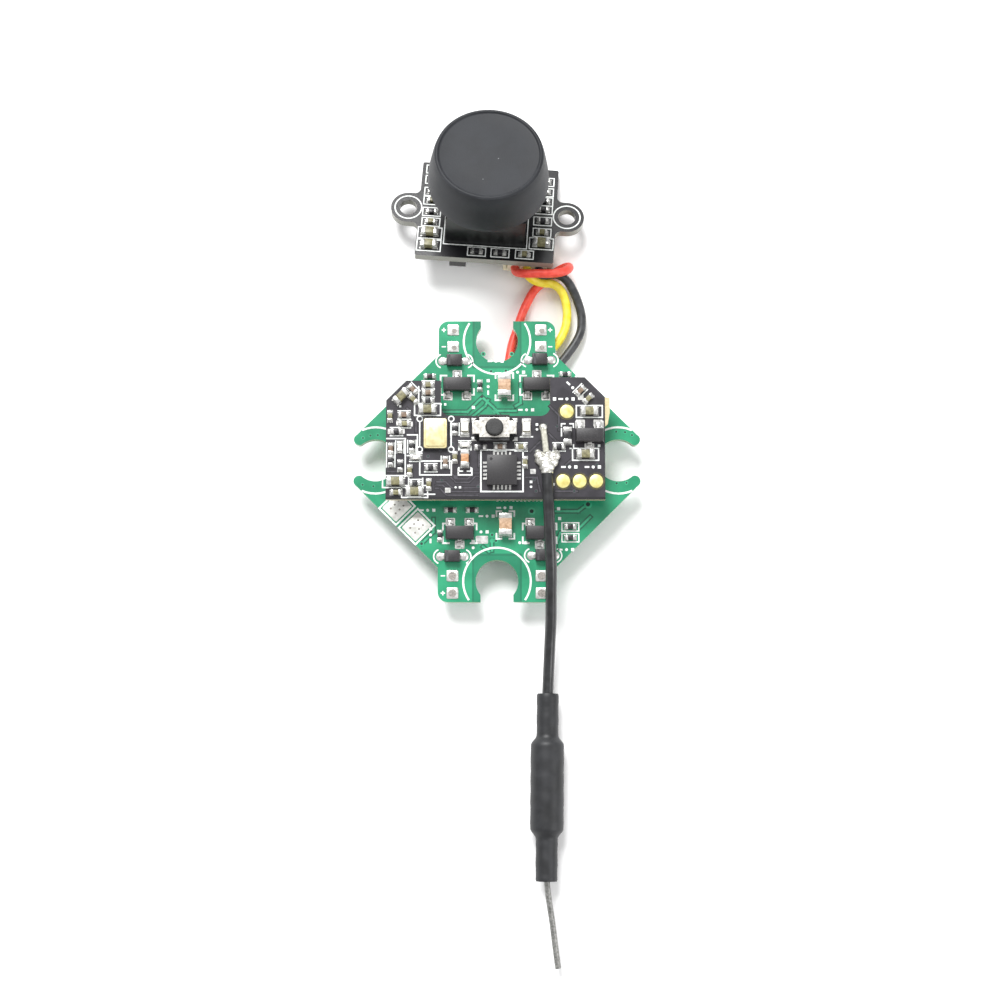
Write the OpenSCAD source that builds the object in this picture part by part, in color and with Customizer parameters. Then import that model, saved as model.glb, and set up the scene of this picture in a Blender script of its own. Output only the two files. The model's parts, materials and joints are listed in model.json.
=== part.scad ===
// Whoop-size flight controller stack: main board, video transmitter board, camera module and antenna.
// Origin: on the table under the middle of the main board. +Y towards the camera, +Z up, millimetres.

/* [Main board] */
// Distance from the middle to each corner of the diamond outline
diamond_reach = 16.85; // [15.5:0.05:20.5]
// Distance from the middle to the end of each solder tab
tab_reach = 14.4; // [12:0.05:17.5]
// Width across each solder tab
tab_width = 11.9; // [10.8:0.1:14.4]
// Radius of the outer corners of the solder tabs
tab_corner = 1.0; // [0.4:0.1:1.4]
// Thickness of the main board
main_thickness = 1.0; // [0.6:0.1:1.6]
// Height of the main board's underside above the table
main_height = 2.0; // [1.6:0.1:3]
// Radius of the four grommet notches
notch_radius = 2.15; // [1.8:0.05:2.4]
// Width of each notch's mouth
notch_mouth = 3.3; // [2.8:0.1:3.6]
// Distance from a notch's middle to the end of its solder tab
tab_notch_inset = 2.1; // [1.9:0.05:2.5]
// Distance from a side notch's middle to the diamond's corner
side_notch_inset = 4.55; // [4.3:0.05:5.4]

/* [Video board] */
// Width of the video board
video_width = 21.9; // [21.5:0.1:26.4]
// Depth of the video board at its left side
video_depth = 12.05; // [12:0.05:14.5]
// Extra depth of the video board at its right side
video_step = 0.35; // [0:0.05:0.6]
// Thickness of the video board
video_thickness = 0.8; // [0.6:0.1:1.2]
// Clear gap between the two boards
board_gap = 2.2; // [1.8:0.1:3]
// Cut across each far corner of the video board
video_chamfer = 2.0; // [1:0.1:2.6]
// Width of the U cut-out
cutout_width = 10.95; // [9:0.05:13.2]
// Depth of the U cut-out
cutout_depth = 3.6; // [2.9:0.05:4.4]
// Radius of the U cut-out's inner corners
cutout_corner = 1.0; // [0.4:0.1:1.4]

/* [Button] */
// Length of the push button's base
button_length = 3.9; // [3.4:0.1:4.7]
// Width of the push button's base
button_width = 2.6; // [2.2:0.1:3.2]
// Height of the push button's base
button_height = 1.3; // [1.1:0.1:1.8]
// Radius of the plunger
plunger_radius = 0.82; // [0.6:0.02:1]
// Travel of the plunger
plunger_travel = 0.25; // [0.15:0.05:0.3]

/* [Camera] */
// Width of the camera board between its ears
camera_width = 14.2; // [12.5:0.1:16.8]
// Depth of the camera board
camera_depth = 11.5; // [10.6:0.1:13.2]
// Thickness of the camera board
camera_thickness = 0.8; // [0.7:0.1:1]
// Distance between the two ear holes
ear_spacing = 16.4; // [15:0.1:19.6]
// Radius of the ear holes
ear_hole = 0.9; // [0.75:0.05:1.1]
// Outer radius of the ears
ear_radius = 1.8; // [1.6:0.05:2.1]
// Backward lean of the camera, in degrees
camera_tilt = 18; // [14:1:22]
// Turn of the camera about the vertical, in degrees
camera_turn = -3.8; // [-6:0.2:6]

/* [Lens] */
// Side of the square lens holder
holder_side = 8.1; // [8:0.1:9.2]
// Outer radius of the lens thread
thread_radius = 3.5; // [3:0.05:3.75]
// Radius of the lens head
head_radius = 4.9; // [4.2:0.1:5.9]
// Height of the lens head
head_height = 3.4; // [2.8:0.1:4.2]
// Radial gap between turning lens pieces
lens_clearance = 0.05; // [0.03:0.01:0.1]
// Wall of the lens cap at its rim
cap_wall = 1.15; // [0.9:0.05:1.4]
// Draw-in of the cap's radius from rim to top
cap_taper = 0.6; // [0.2:0.05:0.8]

/* [Antenna] */
// Outer diameter of the coax
coax_diameter = 1.13; // [1:0.01:1.4]
// Length of the heat-shrink sleeve
sleeve_length = 18.5; // [16:0.5:22]
// Radius of the sleeve at its ends
sleeve_end_radius = 1.1; // [0.95:0.05:1.4]
// Radius of the sleeve over the ferrule
sleeve_middle_radius = 1.7; // [1.6:0.05:1.75]
// Diameter of the bare whip
whip_diameter = 0.6; // [0.4:0.05:0.8]

/* [Wires] */
// Outer diameter of the camera wires
wire_diameter = 0.9; // [0.7:0.05:1]

/* [Chip sizes] */
// Length, width and height of a small (0402) part
small_part = [1.0, 0.5, 0.4];
// Length, width and height of a medium (0603) part
medium_part = [1.6, 0.8, 0.7];
// Length, width and height of a bulk (0805) capacitor
bulk_part = [2.2, 1.3, 1.2];
// Length, width and height of a three-leg transistor body
transistor_body = [2.9, 1.4, 1.0];
// Length, width and height of a diode body
diode_body = [1.6, 1.2, 0.9];

/* [Hidden] */

$fn = 64;
// How far a cutting tool runs past the face it cuts
past = 0.5;
// How deep one solid of a union sinks into the next, so that they join
bite = 0.05;

// Heights of the boards' faces
main_top = main_height + main_thickness;
video_bottom = main_top + board_gap;
video_top = video_bottom + video_thickness;

// Video board edges: its middle is almost over the main board's middle
video_offset = [-0.15, 1.6];
video_left = video_offset[0] - video_width / 2;
video_right = video_offset[0] + video_width / 2;
video_near = video_offset[1] - video_depth / 2;
video_far = video_offset[1] + video_depth / 2;
video_far_right = video_far + video_step;
cutout_floor = video_far - cutout_depth;

// Notch middles, and the half angle of the side notches' mouths
tab_notch_y = tab_reach - tab_notch_inset;
side_notch_x = diamond_reach - side_notch_inset;
side_mouth_angle = asin(notch_mouth / 2 / notch_radius) + 2;
// Each side arm's tip is a full round that fits the arm's width where it is cut
edge_distance = diamond_reach / sqrt(2);
arm_outer = side_notch_inset / sqrt(2) / cos(side_mouth_angle - 45);
tip_radius = (arm_outer - notch_radius) / 2 + 0.02;
tip_reach = (arm_outer + notch_radius) / 2;

// Pads
pad_thickness = 0.05;
motor_pad = [1.25, 1.2];
motor_pad_edge_gap = 0.85;
motor_pad_end_gap = 0.3;
motor_pad_gap = 0.55;
motor_pad_x = tab_width / 2 - motor_pad_edge_gap - motor_pad[0] / 2;
battery_pad = [2.3, 2.0];
battery_pad_edge_gap = 0.25;
battery_pad_places = [-3.75, -0.95];
test_pad_radius = 0.7;

// Power parts behind the solder tabs: [x, distance back from the tab's end]
mosfet_places = [[-4.05, 6.65], [4.05, 6.65], [-3.75, 6.95], [4.3, 6.95]];
diode_places = [[-4.35, 4.15], [4.35, 4.05], [-4.5, 4.6], [4.65, 4.7]];
bulk_places = [[0.75, 6.8], [0.85, 7.8]];

// Legs of the three-leg parts
leg = [0.45, 0.6, 0.15];
leg_spread = 0.95;

// Chips on the main board: [x, y]
mcu_place = [2.25, -0.8];
gyro_place = [-4.6, 0.6];

// Underside parts; the inductor is as tall as the board's stand-off, so the set rests on it
inductor_side = 4;
output_capacitor = [2.8, 3.5];
output_capacitor_place = [7.4, -1.5];
regulator_y = -4.8;

// Header strips between the boards
header_pitch = 1.27;
header_count = 4;
header_stand_off = 0.4;
header_pin = 0.4;
header_width = 1.2;
header_x = side_notch_x - notch_radius - 0.35 - header_width / 2;

// Places on the video board, from its left and near edges
crystal_place = [4.95, 6.6];
button_place = [10.85, 7.05];
led_left_place = [7.9, 7.25];
led_right_place = [14.05, 7.25];
transmitter_place = [11.6, 2.9];
regulator_place = [1.55, 6.4];

// Push button: the contact disc lies just below the flange's lowest reach
plate_thickness = 0.15;
plate_width = 2.0;
plunger_gap = 0.06;
well_radius = plunger_radius + 0.35;
contact_thickness = 0.1;
flange_radius = well_radius - plunger_gap;
flange_height = 0.25;
flange_top = button_height - plunger_gap / 2;
well_floor = flange_top - flange_height - plunger_travel - plunger_gap - contact_thickness;
plunger_proud = 0.65;

// Camera frame: the board's underside touches the table along its far edge
camera_middle = [-1.0, 25.8, camera_depth / 2 * sin(camera_tilt)];
holder_foot = 1.6;
holder_height = 4.4;
collar_height = 1.0;
collar_radius = thread_radius + lens_clearance + 0.45;
cavity_side = holder_side - 1.6;
filter_thickness = 0.3;
filter_side = cavity_side - 0.2;
collar_top = camera_thickness + holder_height + collar_height;
head_gap = 0.5;
head_bottom = collar_top + head_gap;
head_top = head_bottom + head_height;
thread_bottom = camera_thickness + holder_foot + 0.8;
barrel_bore = thread_radius - 0.75;
front_seat = head_radius - 1.5;
front_recess = 1.7;
cap_roof = 0.8;
cap_lip = 0.2;
cap_overhang = 0.5;
cap_rim_radius = head_radius + lens_clearance + cap_wall;
cap_headroom = 0.15;
cap_top = head_top + cap_headroom + cap_roof;

// Socket and plug under the camera board's near edge
socket = [5.0, 2.9, 2.3];
socket_wall = 0.4;
plug_clearance = 0.05;
socket_left = camera_width / 2 - 0.15 - socket[0];
socket_near = 0.8 - camera_depth / 2;
plug_reach = 0.3;

// Antenna route and sleeve axis
antenna_x = 5.0;
solder_end = -1.9;
coax_z = video_top + coax_diameter / 2 + 0.05;
coax_route = [
  [5.0, -1.9, coax_z], [5.1, -4.2, coax_z], [5.2, -6.6, 6.5], [5.3, -9.0, 6.1],
  [5.4, -11.4, 5.4], [5.4, -13.8, 4.4], [5.4, -16.2, 3.4], [5.3, -18.6, 2.5],
  [5.2, -21.0, 1.9], [5.1, -23.4, 1.75], [5.0, -29.0, 1.75], [5.0, -35.0, 1.75],
  [4.9, -41.0, 1.75],
];
sleeve_start = [5.1, -23.5, 1.75];
sleeve_turn = -0.6;
sleeve_step = 4.3;
sleeve_shoulder = 0.7;
sleeve_wall = 0.4;
whip_route = [
  [4.9, -41.0, 1.75], [5.0, -42.6, 1.7], [5.2, -44.2, 1.6], [5.45, -45.8, 1.5],
  [5.65, -47.4, 1.35], [5.85, -49.0, 1.25], [6.05, -50.5, 1.15],
];

// Camera wire routes, from the plug to the solder joints under the main board
wire_red_route = [
  [1.86, 20.75, 2.14], [1.85, 20.2, 2.32], [1.95, 19.75, 2.6], [2.5, 19.45, 3.05],
  [3.3, 19.35, 3.3], [4.3, 19.35, 3.35], [5.3, 19.35, 3.3], [6.2, 19.45, 3.2],
  [6.95, 19.7, 2.95], [7.4, 20.1, 2.4], [7.35, 20.5, 1.6], [6.8, 20.5, 0.95],
  [6.0, 20.1, 0.6], [5.2, 19.5, 0.5], [4.6, 18.95, 0.5], [4.0, 18.4, 0.55],
  [3.55, 17.75, 0.65], [3.2, 17.05, 0.7], [2.85, 16.3, 0.8], [2.5, 15.4, 0.85],
  [2.1, 14.1, 0.9], [1.6, 12.6, 1.0], [1.3, 11.1, 1.1], [1.1, 9.6, 1.3],
  [1.0, 8.6, 1.4],
];
wire_yellow_route = [
  [3.11, 20.67, 2.14], [3.09, 20.15, 2.3], [3.08, 19.7, 2.2], [3.5, 19.2, 1.9],
  [4.2, 18.95, 1.5], [4.9, 18.8, 1.45], [5.6, 18.75, 1.4], [6.15, 18.5, 1.35],
  [6.6, 18.1, 1.2], [6.95, 17.4, 1.05], [7.2, 16.3, 0.9], [7.2, 15.0, 0.9],
  [6.95, 13.9, 0.95], [6.4, 12.8, 1.1], [5.8, 12.0, 1.3], [5.4, 11.4, 1.4],
];
wire_black_route = [
  [4.36, 20.59, 2.14], [4.33, 20.07, 2.3], [4.35, 19.65, 2.25], [4.75, 19.5, 2.1],
  [5.4, 19.55, 2.0], [6.1, 19.6, 1.9], [6.7, 19.4, 1.75], [7.25, 19.0, 1.5],
  [7.8, 18.2, 1.2], [8.35, 16.95, 1.0], [8.7, 15.65, 0.9], [8.75, 15.0, 0.9],
  [8.65, 13.9, 0.9], [8.2, 12.8, 1.0], [7.5, 11.7, 1.1], [6.5, 10.4, 1.3],
  [5.6, 9.5, 1.4],
];
wire_sides = 8;
joint_radius = 0.7;
joint_drop = 1.0;

// Video board layouts: [x, y, turn], x and y from the named edge
left_small = [
  [0.4, 8.4, 90], [1.8, 8.55, 0], [1.85, 7.65, 0], [1.05, 6.85, 0], [0.5, 5.1, 90],
  [1.4, 5.3, 90], [2.6, 5.35, 90], [0.5, 3.9, 90], [1.45, 3.4, 90], [3.0, 4.25, 0],
  [2.4, 2.9, 90], [2.95, 1.6, 0], [1.05, 0.7, 0], [4.3, 1.5, 90], [4.5, 3.2, 0],
  [5.95, 3.75, 90], [6.9, 7.1, 90], [6.9, 4.25, 90], [7.9, 5.5, 0], [9.45, 5.25, 0],
  [4.2, 11.6, 0], [4.2, 10.8, 0], [4.2, 9.98, 0], [2.65, 11.15, -45], [2.7, 10.15, -45],
  [11.4, 5.3, 0], [13.5, 5.3, 0], [13.9, 3.75, 90],
];
left_medium = [
  [4.15, 9.1, 0], [1.5, 10.4, 45], [1.0, 1.8, 0], [2.9, 0.8, 0], [7.9, 4.1, 90],
];
right_small = [
  [2.45, 11.0, 45], [1.65, 10.2, 45], [4.6, 5.3, 0],
];
right_medium = [[1.55, 8.9, 0], [1.95, 4.55, 0], [3.75, 6.4, 90]];
// Main board small parts: [x, y, turn]
main_small = [
  [-1.75, 7.7, 90], [-2.5, -5.1, 0], [-4.7, -5.1, 0], [-5.75, -7.7, 90],
  [7.4, -6.8, 0], [7.4, -7.9, 0], [-6.85, 8.65, 0], [6.95, 8.85, 0],
];
test_pad_places = [[3.8, 8.9], [4.2, 1.85], [2.55, 1.85], [0.9, 1.85]];

// Camera board rows of small parts, beside the lens holder and in front of it
camera_column_inset = 1.35;
camera_left_rows = [4.9, 3.6, 2.1, 1.0, -0.4, -1.65];
camera_right_rows = [4.2, 2.9, 1.75, 0.7, -0.7, -2.1];
camera_medium_left = [-3.0, -4.5];
camera_medium_right = [-3.45];
camera_front_parts = [-0.8, 1.6, 4.1];

// ---- helpers ----

module rounded_rectangle(low, high, r) {
  translate([low[0] + r, low[1]]) square([high[0] - low[0] - 2 * r, high[1] - low[1]]);
  translate([low[0], low[1] + r]) square([high[0] - low[0], high[1] - low[1] - 2 * r]);
  for (x = [low[0] + r, high[0] - r], y = [low[1] + r, high[1] - r]) translate([x, y]) circle(r);
}

module centred_box(size) {
  translate([-size[0] / 2, -size[1] / 2, 0]) cube(size);
}

// A two-ended chip part: a body with slightly larger metal ends
module chip_part(size) {
  end_length = size[0] * 0.24;
  step = 0.02;
  centred_box([size[0] - end_length, size[1] - 2 * step, size[2] - step]);
  for (side = [-1, 1])
    translate([side * (size[0] - end_length) / 2, 0, 0]) centred_box([end_length, size[1], size[2]]);
}

module chip_parts(places, size) {
  for (place = places) translate([place[0], place[1], 0]) rotate(place[2]) chip_part(size);
}

// A three-leg part: one leg on the +Y side, two on the -Y side
module three_leg_part(size) {
  foot = size[1] / 2 + leg[1] / 2;
  translate([0, 0, leg[2] / 2]) centred_box([size[0], size[1], size[2] - leg[2] / 2]);
  for (place = [[0, foot], [-leg_spread, -foot], [leg_spread, -foot]])
    translate([place[0], place[1] - sign(place[1]) * bite, 0]) centred_box([leg[0], leg[1] + 2 * bite, leg[2]]);
}

// A flat chip with a row of contacts along each side
module flat_chip(side, height, contacts, pitch, contact_reach) {
  contact = [pitch * 0.55, contact_reach + bite, 0.2];
  centred_box([side, side, height]);
  for (turn = [0:90:270], i = [0:contacts - 1])
    rotate(turn)
      translate([(i - (contacts - 1) / 2) * pitch, side / 2 + contact_reach / 2 - bite / 2, 0])
        centred_box(contact);
}

function unit(v) = v / norm(v);
function tangent_at(route, i) =
  unit(route[min(i + 1, len(route) - 1)] - route[max(i - 1, 0)]);
// Normals carried along the route without twisting
function carried_normals(route, i, previous) =
  i >= len(route) ? []
  : let(t = tangent_at(route, i), n = unit(previous - (previous * t) * t))
    concat([n], carried_normals(route, i + 1, n));

// A round cord along a route, one ring at each of its points
module cord(route, diameter, sides) {
  rings = len(route);
  normals = carried_normals(route, 0, [0, 0, 1]);
  points = [
    for (i = [0:rings - 1], k = [0:sides - 1])
      let(n = normals[i], b = cross(tangent_at(route, i), n), a = 360 * k / sides)
        route[i] + diameter / 2 * (cos(a) * n + sin(a) * b)
  ];
  skin = [
    for (i = [0:rings - 2], k = [0:sides - 1])
      let(a = i * sides + k, b = i * sides + (k + 1) % sides)
        each [[a, b, b + sides], [a, b + sides, a + sides]]
  ];
  start_face = [for (k = [sides - 1:-1:0]) k];
  end_face = [for (k = [0:sides - 1]) (rings - 1) * sides + k];
  polyhedron(points, concat(skin, [start_face, end_face]));
}

module on_camera() {
  translate(camera_middle) rotate([0, 0, camera_turn]) rotate([-camera_tilt, 0, 0]) children();
}

module on_video_left() {
  translate([video_left, video_near, video_top]) children();
}

// ---- main board ----

module main_outline() {
  difference() {
    union() {
      intersection() {
        rotate(45) square(2 * edge_distance, center = true);
        square([2 * diamond_reach, 2 * tab_reach], center = true);
      }
      rounded_rectangle([-tab_width / 2, -tab_reach], [tab_width / 2, tab_reach], tab_corner);
    }
    for (turn = [0, 180]) rotate(turn) {
      translate([0, tab_notch_y]) circle(notch_radius);
      translate([-notch_mouth / 2, tab_notch_y]) square([notch_mouth, tab_notch_inset + past]);
      translate([side_notch_x, 0]) circle(notch_radius);
      translate([side_notch_x, 0])
        polygon([
          [0, 0],
          2 * arm_outer * [cos(side_mouth_angle), -sin(side_mouth_angle)],
          [4 * arm_outer, 0],
          2 * arm_outer * [cos(side_mouth_angle), sin(side_mouth_angle)],
        ]);
    }
  }
}

module arm_tips() {
  difference() {
    for (turn = [0, 180], side = [-1, 1])
      rotate(turn)
        translate([side_notch_x + tip_reach * cos(side_mouth_angle), side * tip_reach * sin(side_mouth_angle)])
          circle(tip_radius);
    for (turn = [0, 180]) rotate(turn) translate([side_notch_x, 0]) circle(notch_radius);
  }
}

module main_board() {
  color("mediumseagreen")
    translate([0, 0, main_height]) {
      linear_extrude(main_thickness) main_outline();
      linear_extrude(main_thickness) arm_tips();
    }
}

module motor_pads() {
  color("gainsboro")
    for (turn = [0, 180], side = [-1, 1], i = [0, 1])
      rotate(turn)
        translate([
          side * motor_pad_x,
          tab_reach - motor_pad_end_gap - motor_pad[1] / 2 - i * (motor_pad[1] + motor_pad_gap),
          main_top,
        ])
          centred_box([motor_pad[0], motor_pad[1], pad_thickness]);
}

module battery_pads() {
  color("gainsboro")
    rotate(225)
      for (place = battery_pad_places)
        translate([edge_distance - battery_pad_edge_gap - battery_pad[0] / 2, place, main_top])
          centred_box([battery_pad[0], battery_pad[1], pad_thickness]);
}

// Puts a power part at its place behind the far (+Y) or the near (-Y) tab
module behind_tab(place, y_side) {
  translate([place[0], y_side * (tab_reach - place[1]), main_top]) rotate(y_side > 0 ? 0 : 180) children();
}

module motor_mosfet(place, y_side) {
  color("dimgray") behind_tab(place, y_side) three_leg_part(transistor_body);
}

module flyback_diode(place, y_side) {
  foot = [0.5, 0.6, 0.15];
  color("dimgray")
    behind_tab(place, y_side) {
      centred_box(diode_body);
      for (side = [-1, 1])
        translate([side * (diode_body[0] + foot[0]) / 2, 0, 0])
          centred_box([foot[0] + 2 * bite, foot[1], foot[2]]);
    }
}

module bulk_capacitor(place, y_side) {
  color("tan") behind_tab(place, y_side) rotate(90) chip_part(bulk_part);
}

module main_passives() {
  color("darkslategray") translate([0, 0, main_top]) chip_parts(main_small, small_part);
}

module mcu_chip() {
  color("dimgray")
    translate([mcu_place[0], mcu_place[1], main_top])
      flat_chip(side = 6, height = 0.85, contacts = 12, pitch = 0.4, contact_reach = 0.3);
}

module gyro_chip() {
  color("dimgray")
    translate([gyro_place[0], gyro_place[1], main_top])
      flat_chip(side = 4, height = 0.9, contacts = 6, pitch = 0.5, contact_reach = 0.15);
}

// ---- underside of the main board ----

module boost_inductor() {
  color("slategray")
    difference() {
      centred_box([inductor_side, inductor_side, main_height]);
      for (side = [-1, 1])
        translate([side * inductor_side / 2, 0, main_height * 0.75])
          centred_box([inductor_side / 5, inductor_side * 0.6, main_height]);
    }
}

module output_capacitors() {
  color("goldenrod")
    for (turn = [0, 180])
      rotate(turn)
        translate([output_capacitor_place[0], output_capacitor_place[1], 0])
          centred_box([output_capacitor[0], output_capacitor[1], main_height]);
}

module boost_regulator() {
  color("dimgray")
    translate([0, regulator_y, main_height]) rotate([180, 0, 0]) three_leg_part(transistor_body);
}

// ---- stack ----

module header_spacer(side) {
  color("black")
    translate([side * header_x, 0, main_top + header_stand_off])
      difference() {
        centred_box([header_width, header_pitch * header_count, board_gap - 2 * header_stand_off]);
        for (i = [0:header_count - 1])
          translate([0, (i - (header_count - 1) / 2) * header_pitch, -past])
            centred_box([header_pin, header_pin, board_gap + 2 * past]);
      }
}

module header_pins(side) {
  color("gold")
    for (i = [0:header_count - 1])
      translate([side * header_x, (i - (header_count - 1) / 2) * header_pitch, main_top])
        centred_box([header_pin, header_pin, board_gap]);
}

module video_outline() {
  difference() {
    polygon([
      [video_left, video_near],
      [video_right, video_near],
      [video_right, video_far_right - video_chamfer],
      [video_right - video_chamfer, video_far_right],
      [video_offset[0], video_far_right],
      [video_offset[0], video_far],
      [video_left + video_chamfer, video_far],
      [video_left, video_far - video_chamfer],
    ]);
    rounded_rectangle(
      [video_offset[0] - cutout_width / 2, cutout_floor],
      [video_offset[0] + cutout_width / 2, video_far_right + cutout_depth],
      cutout_corner
    );
  }
}

module video_board() {
  tab = [0.5, 3.0];
  tab_end = video_far_right - video_chamfer;
  color("darkslategray")
    translate([0, 0, video_bottom]) {
      linear_extrude(video_thickness) video_outline();
      translate([0, 0, 0.1])
        linear_extrude(video_thickness - 0.2)
          polygon([
            [video_right - bite, tab_end],
            [video_right + tab[0], tab_end - 0.1],
            [video_right + tab[0], tab_end - 1.6],
            [video_right + tab[0] * 0.6, tab_end - tab[1] + 0.3],
            [video_right - bite, tab_end - tab[1]],
          ]);
    }
}

module crystal_base() {
  color("dimgray")
    on_video_left() translate([crystal_place[0], crystal_place[1], 0]) centred_box([2.5, 3.2, 0.45]);
}

module crystal_lid() {
  color("cornsilk")
    on_video_left() translate([crystal_place[0], crystal_place[1], 0.45]) centred_box([2.3, 3.0, 0.25]);
}

// ---- push button ----

module on_button() {
  on_video_left() translate([button_place[0], button_place[1], 0]) children();
}

module button_base() {
  foot = [0.45, 0.5, 0.2];
  color("black")
    on_button()
      difference() {
        union() {
          centred_box([button_length - 0.9, button_width, button_height]);
          centred_box([button_length, 1.4, button_height]);
          for (x = [-1, 1], y = [-1, 1])
            translate([x * (button_length / 2 - 0.2), y * 0.8, 0]) centred_box([foot[0], foot[1], foot[2]]);
        }
        translate([0, 0, well_floor]) cylinder(r = well_radius, h = button_height);
      }
}

module button_plate() {
  color("silver")
    on_button()
      translate([0, 0, button_height])
        difference() {
          union() {
            centred_box([button_length - 0.9, plate_width, plate_thickness]);
            centred_box([button_length + 0.4, 1.3, plate_thickness]);
          }
          translate([0, 0, -past]) cylinder(r = plunger_radius + plunger_gap, h = plate_thickness + 2 * past);
        }
}

module button_contact() {
  color("silver")
    on_button() translate([0, 0, well_floor]) cylinder(r = well_radius - 0.1, h = contact_thickness);
}

module button_plunger() {
  color("black")
    on_button() {
      translate([0, 0, flange_top - flange_height]) cylinder(r = flange_radius, h = flange_height);
      translate([0, 0, flange_top - flange_height])
        cylinder(r = plunger_radius, h = flange_height + plate_thickness + plunger_proud);
    }
}

// ---- video board parts ----

module status_led(place) {
  color("white")
    on_video_left()
      translate([place[0], place[1], 0]) {
        centred_box([0.8, 1.6, 0.3]);
        translate([0, 0, 0.3 - bite]) centred_box([0.8, 1.1, 0.3]);
      }
}

module transmitter_chip() {
  color("dimgray")
    on_video_left()
      translate([transmitter_place[0], transmitter_place[1], 0])
        flat_chip(side = 3.0, height = 0.8, contacts = 5, pitch = 0.4, contact_reach = 0.3);
}

module video_regulator() {
  color("dimgray")
    translate([video_right - regulator_place[0], video_near + regulator_place[1], video_top])
      rotate(180) three_leg_part(transistor_body);
}

module video_parts(from_left, from_right, size) {
  translate([0, 0, video_top]) {
    chip_parts([for (p = from_left) [video_left + p[0], video_near + p[1], p[2]]], size);
    chip_parts([for (p = from_right) [video_right - p[0], video_near + p[1], p[2]]], size);
  }
}

module video_medium_parts() {
  color("tan") video_parts(left_medium, right_medium, medium_part);
}

module video_small_parts() {
  color("darkkhaki") video_parts(left_small, right_small, small_part);
}

module test_pads() {
  color("khaki")
    for (p = test_pad_places)
      translate([video_right - p[0], video_near + p[1], video_top]) cylinder(r = test_pad_radius, h = pad_thickness);
}

// ---- antenna ----

module antenna_solder() {
  color("whitesmoke")
    translate([0, 0, video_top]) {
      hull() {
        translate([antenna_x, solder_end + 0.2, 0]) cylinder(r = 0.5, h = 1.0, $fn = 32);
        translate([antenna_x - 0.5, 0, 0]) cylinder(r = 0.6, h = 0.6, $fn = 32);
        translate([antenna_x + 0.7, 0, 0]) cylinder(r = 0.6, h = 0.6, $fn = 32);
      }
      translate([antenna_x - 0.4, 2.8, 0]) cylinder(r = 0.42, h = 0.45);
    }
}

module antenna_core() {
  core_route = [
    [antenna_x - 0.1, 0.3, video_top + 0.45],
    [antenna_x - 0.2, 1.3, video_top + 0.45],
    [antenna_x - 0.35, 2.6, video_top + 0.38],
  ];
  color("lightgray") cord(core_route, 0.6, wire_sides);
}

module antenna_coax() {
  color("black") cord(coax_route, coax_diameter, wire_sides);
}

module on_sleeve() {
  translate(sleeve_start) rotate([90, 0, sleeve_turn]) children();
}

module antenna_sleeve() {
  bore = coax_diameter / 2 + 0.08;
  first = sleeve_step;
  last = sleeve_length - sleeve_step;
  color("darkslategray")
    on_sleeve()
      rotate_extrude()
        polygon([
          [bore, 0], [sleeve_end_radius, 0],
          [sleeve_end_radius, first], [sleeve_middle_radius, first + sleeve_shoulder],
          [sleeve_middle_radius, last - sleeve_shoulder], [sleeve_end_radius, last],
          [sleeve_end_radius, sleeve_length], [bore, sleeve_length],
          [bore, last - sleeve_shoulder],
          [sleeve_middle_radius - sleeve_wall, last - sleeve_shoulder],
          [sleeve_middle_radius - sleeve_wall, first + sleeve_shoulder],
          [bore, first + sleeve_shoulder],
        ]);
}

module antenna_ferrule() {
  length = sleeve_length - 2 * (sleeve_step + sleeve_shoulder);
  color("goldenrod")
    on_sleeve()
      translate([0, 0, sleeve_step + sleeve_shoulder])
        difference() {
          cylinder(r = sleeve_middle_radius - sleeve_wall, h = length);
          translate([0, 0, -past]) cylinder(r = coax_diameter / 2 + 0.08, h = length + 2 * past);
        }
}

module antenna_whip() {
  color("silver") cord(whip_route, whip_diameter, wire_sides);
}

// ---- camera ----

module ear_outline(side) {
  fillet = 0.6;
  edge = camera_width / 2;
  mirror([side < 0 ? 1 : 0, 0]) {
    translate([ear_spacing / 2, 0]) circle(ear_radius);
    translate([edge - bite, -ear_radius]) square([ear_spacing / 2 - edge + bite, 2 * ear_radius]);
    for (flip = [0, 1])
      mirror([0, flip])
        difference() {
          translate([edge - bite, ear_radius - bite]) square([fillet + bite, fillet + bite]);
          translate([edge + fillet, ear_radius + fillet]) circle(fillet);
        }
  }
}

module camera_board() {
  corner = 0.2;
  color("black")
    on_camera()
      difference() {
        linear_extrude(camera_thickness) {
          rounded_rectangle(
            [-camera_width / 2, -camera_depth / 2], [camera_width / 2, camera_depth / 2], corner
          );
          for (side = [-1, 1]) ear_outline(side);
        }
        for (side = [-1, 1])
          translate([side * ear_spacing / 2, 0, -past])
            cylinder(r = ear_hole, h = camera_thickness + 2 * past);
      }
}

module lens_holder() {
  color("black")
    on_camera()
      translate([0, 0, camera_thickness])
        difference() {
          union() {
            centred_box([holder_side, holder_side, holder_height]);
            cylinder(r = collar_radius, h = holder_height + collar_height);
          }
          translate([0, 0, -past]) centred_box([cavity_side, cavity_side, holder_foot + past]);
          translate([0, 0, holder_foot - bite])
            cylinder(r = thread_radius + lens_clearance, h = holder_height + collar_height + past);
        }
}

module image_sensor() {
  color("dimgray")
    on_camera() translate([0, 0, camera_thickness]) centred_box([5.2, 5.2, 0.9]);
}

module infrared_filter() {
  color("lightcoral")
    on_camera()
      translate([0, 0, camera_thickness + holder_foot - filter_thickness])
        centred_box([filter_side, filter_side, filter_thickness]);
}

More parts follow.
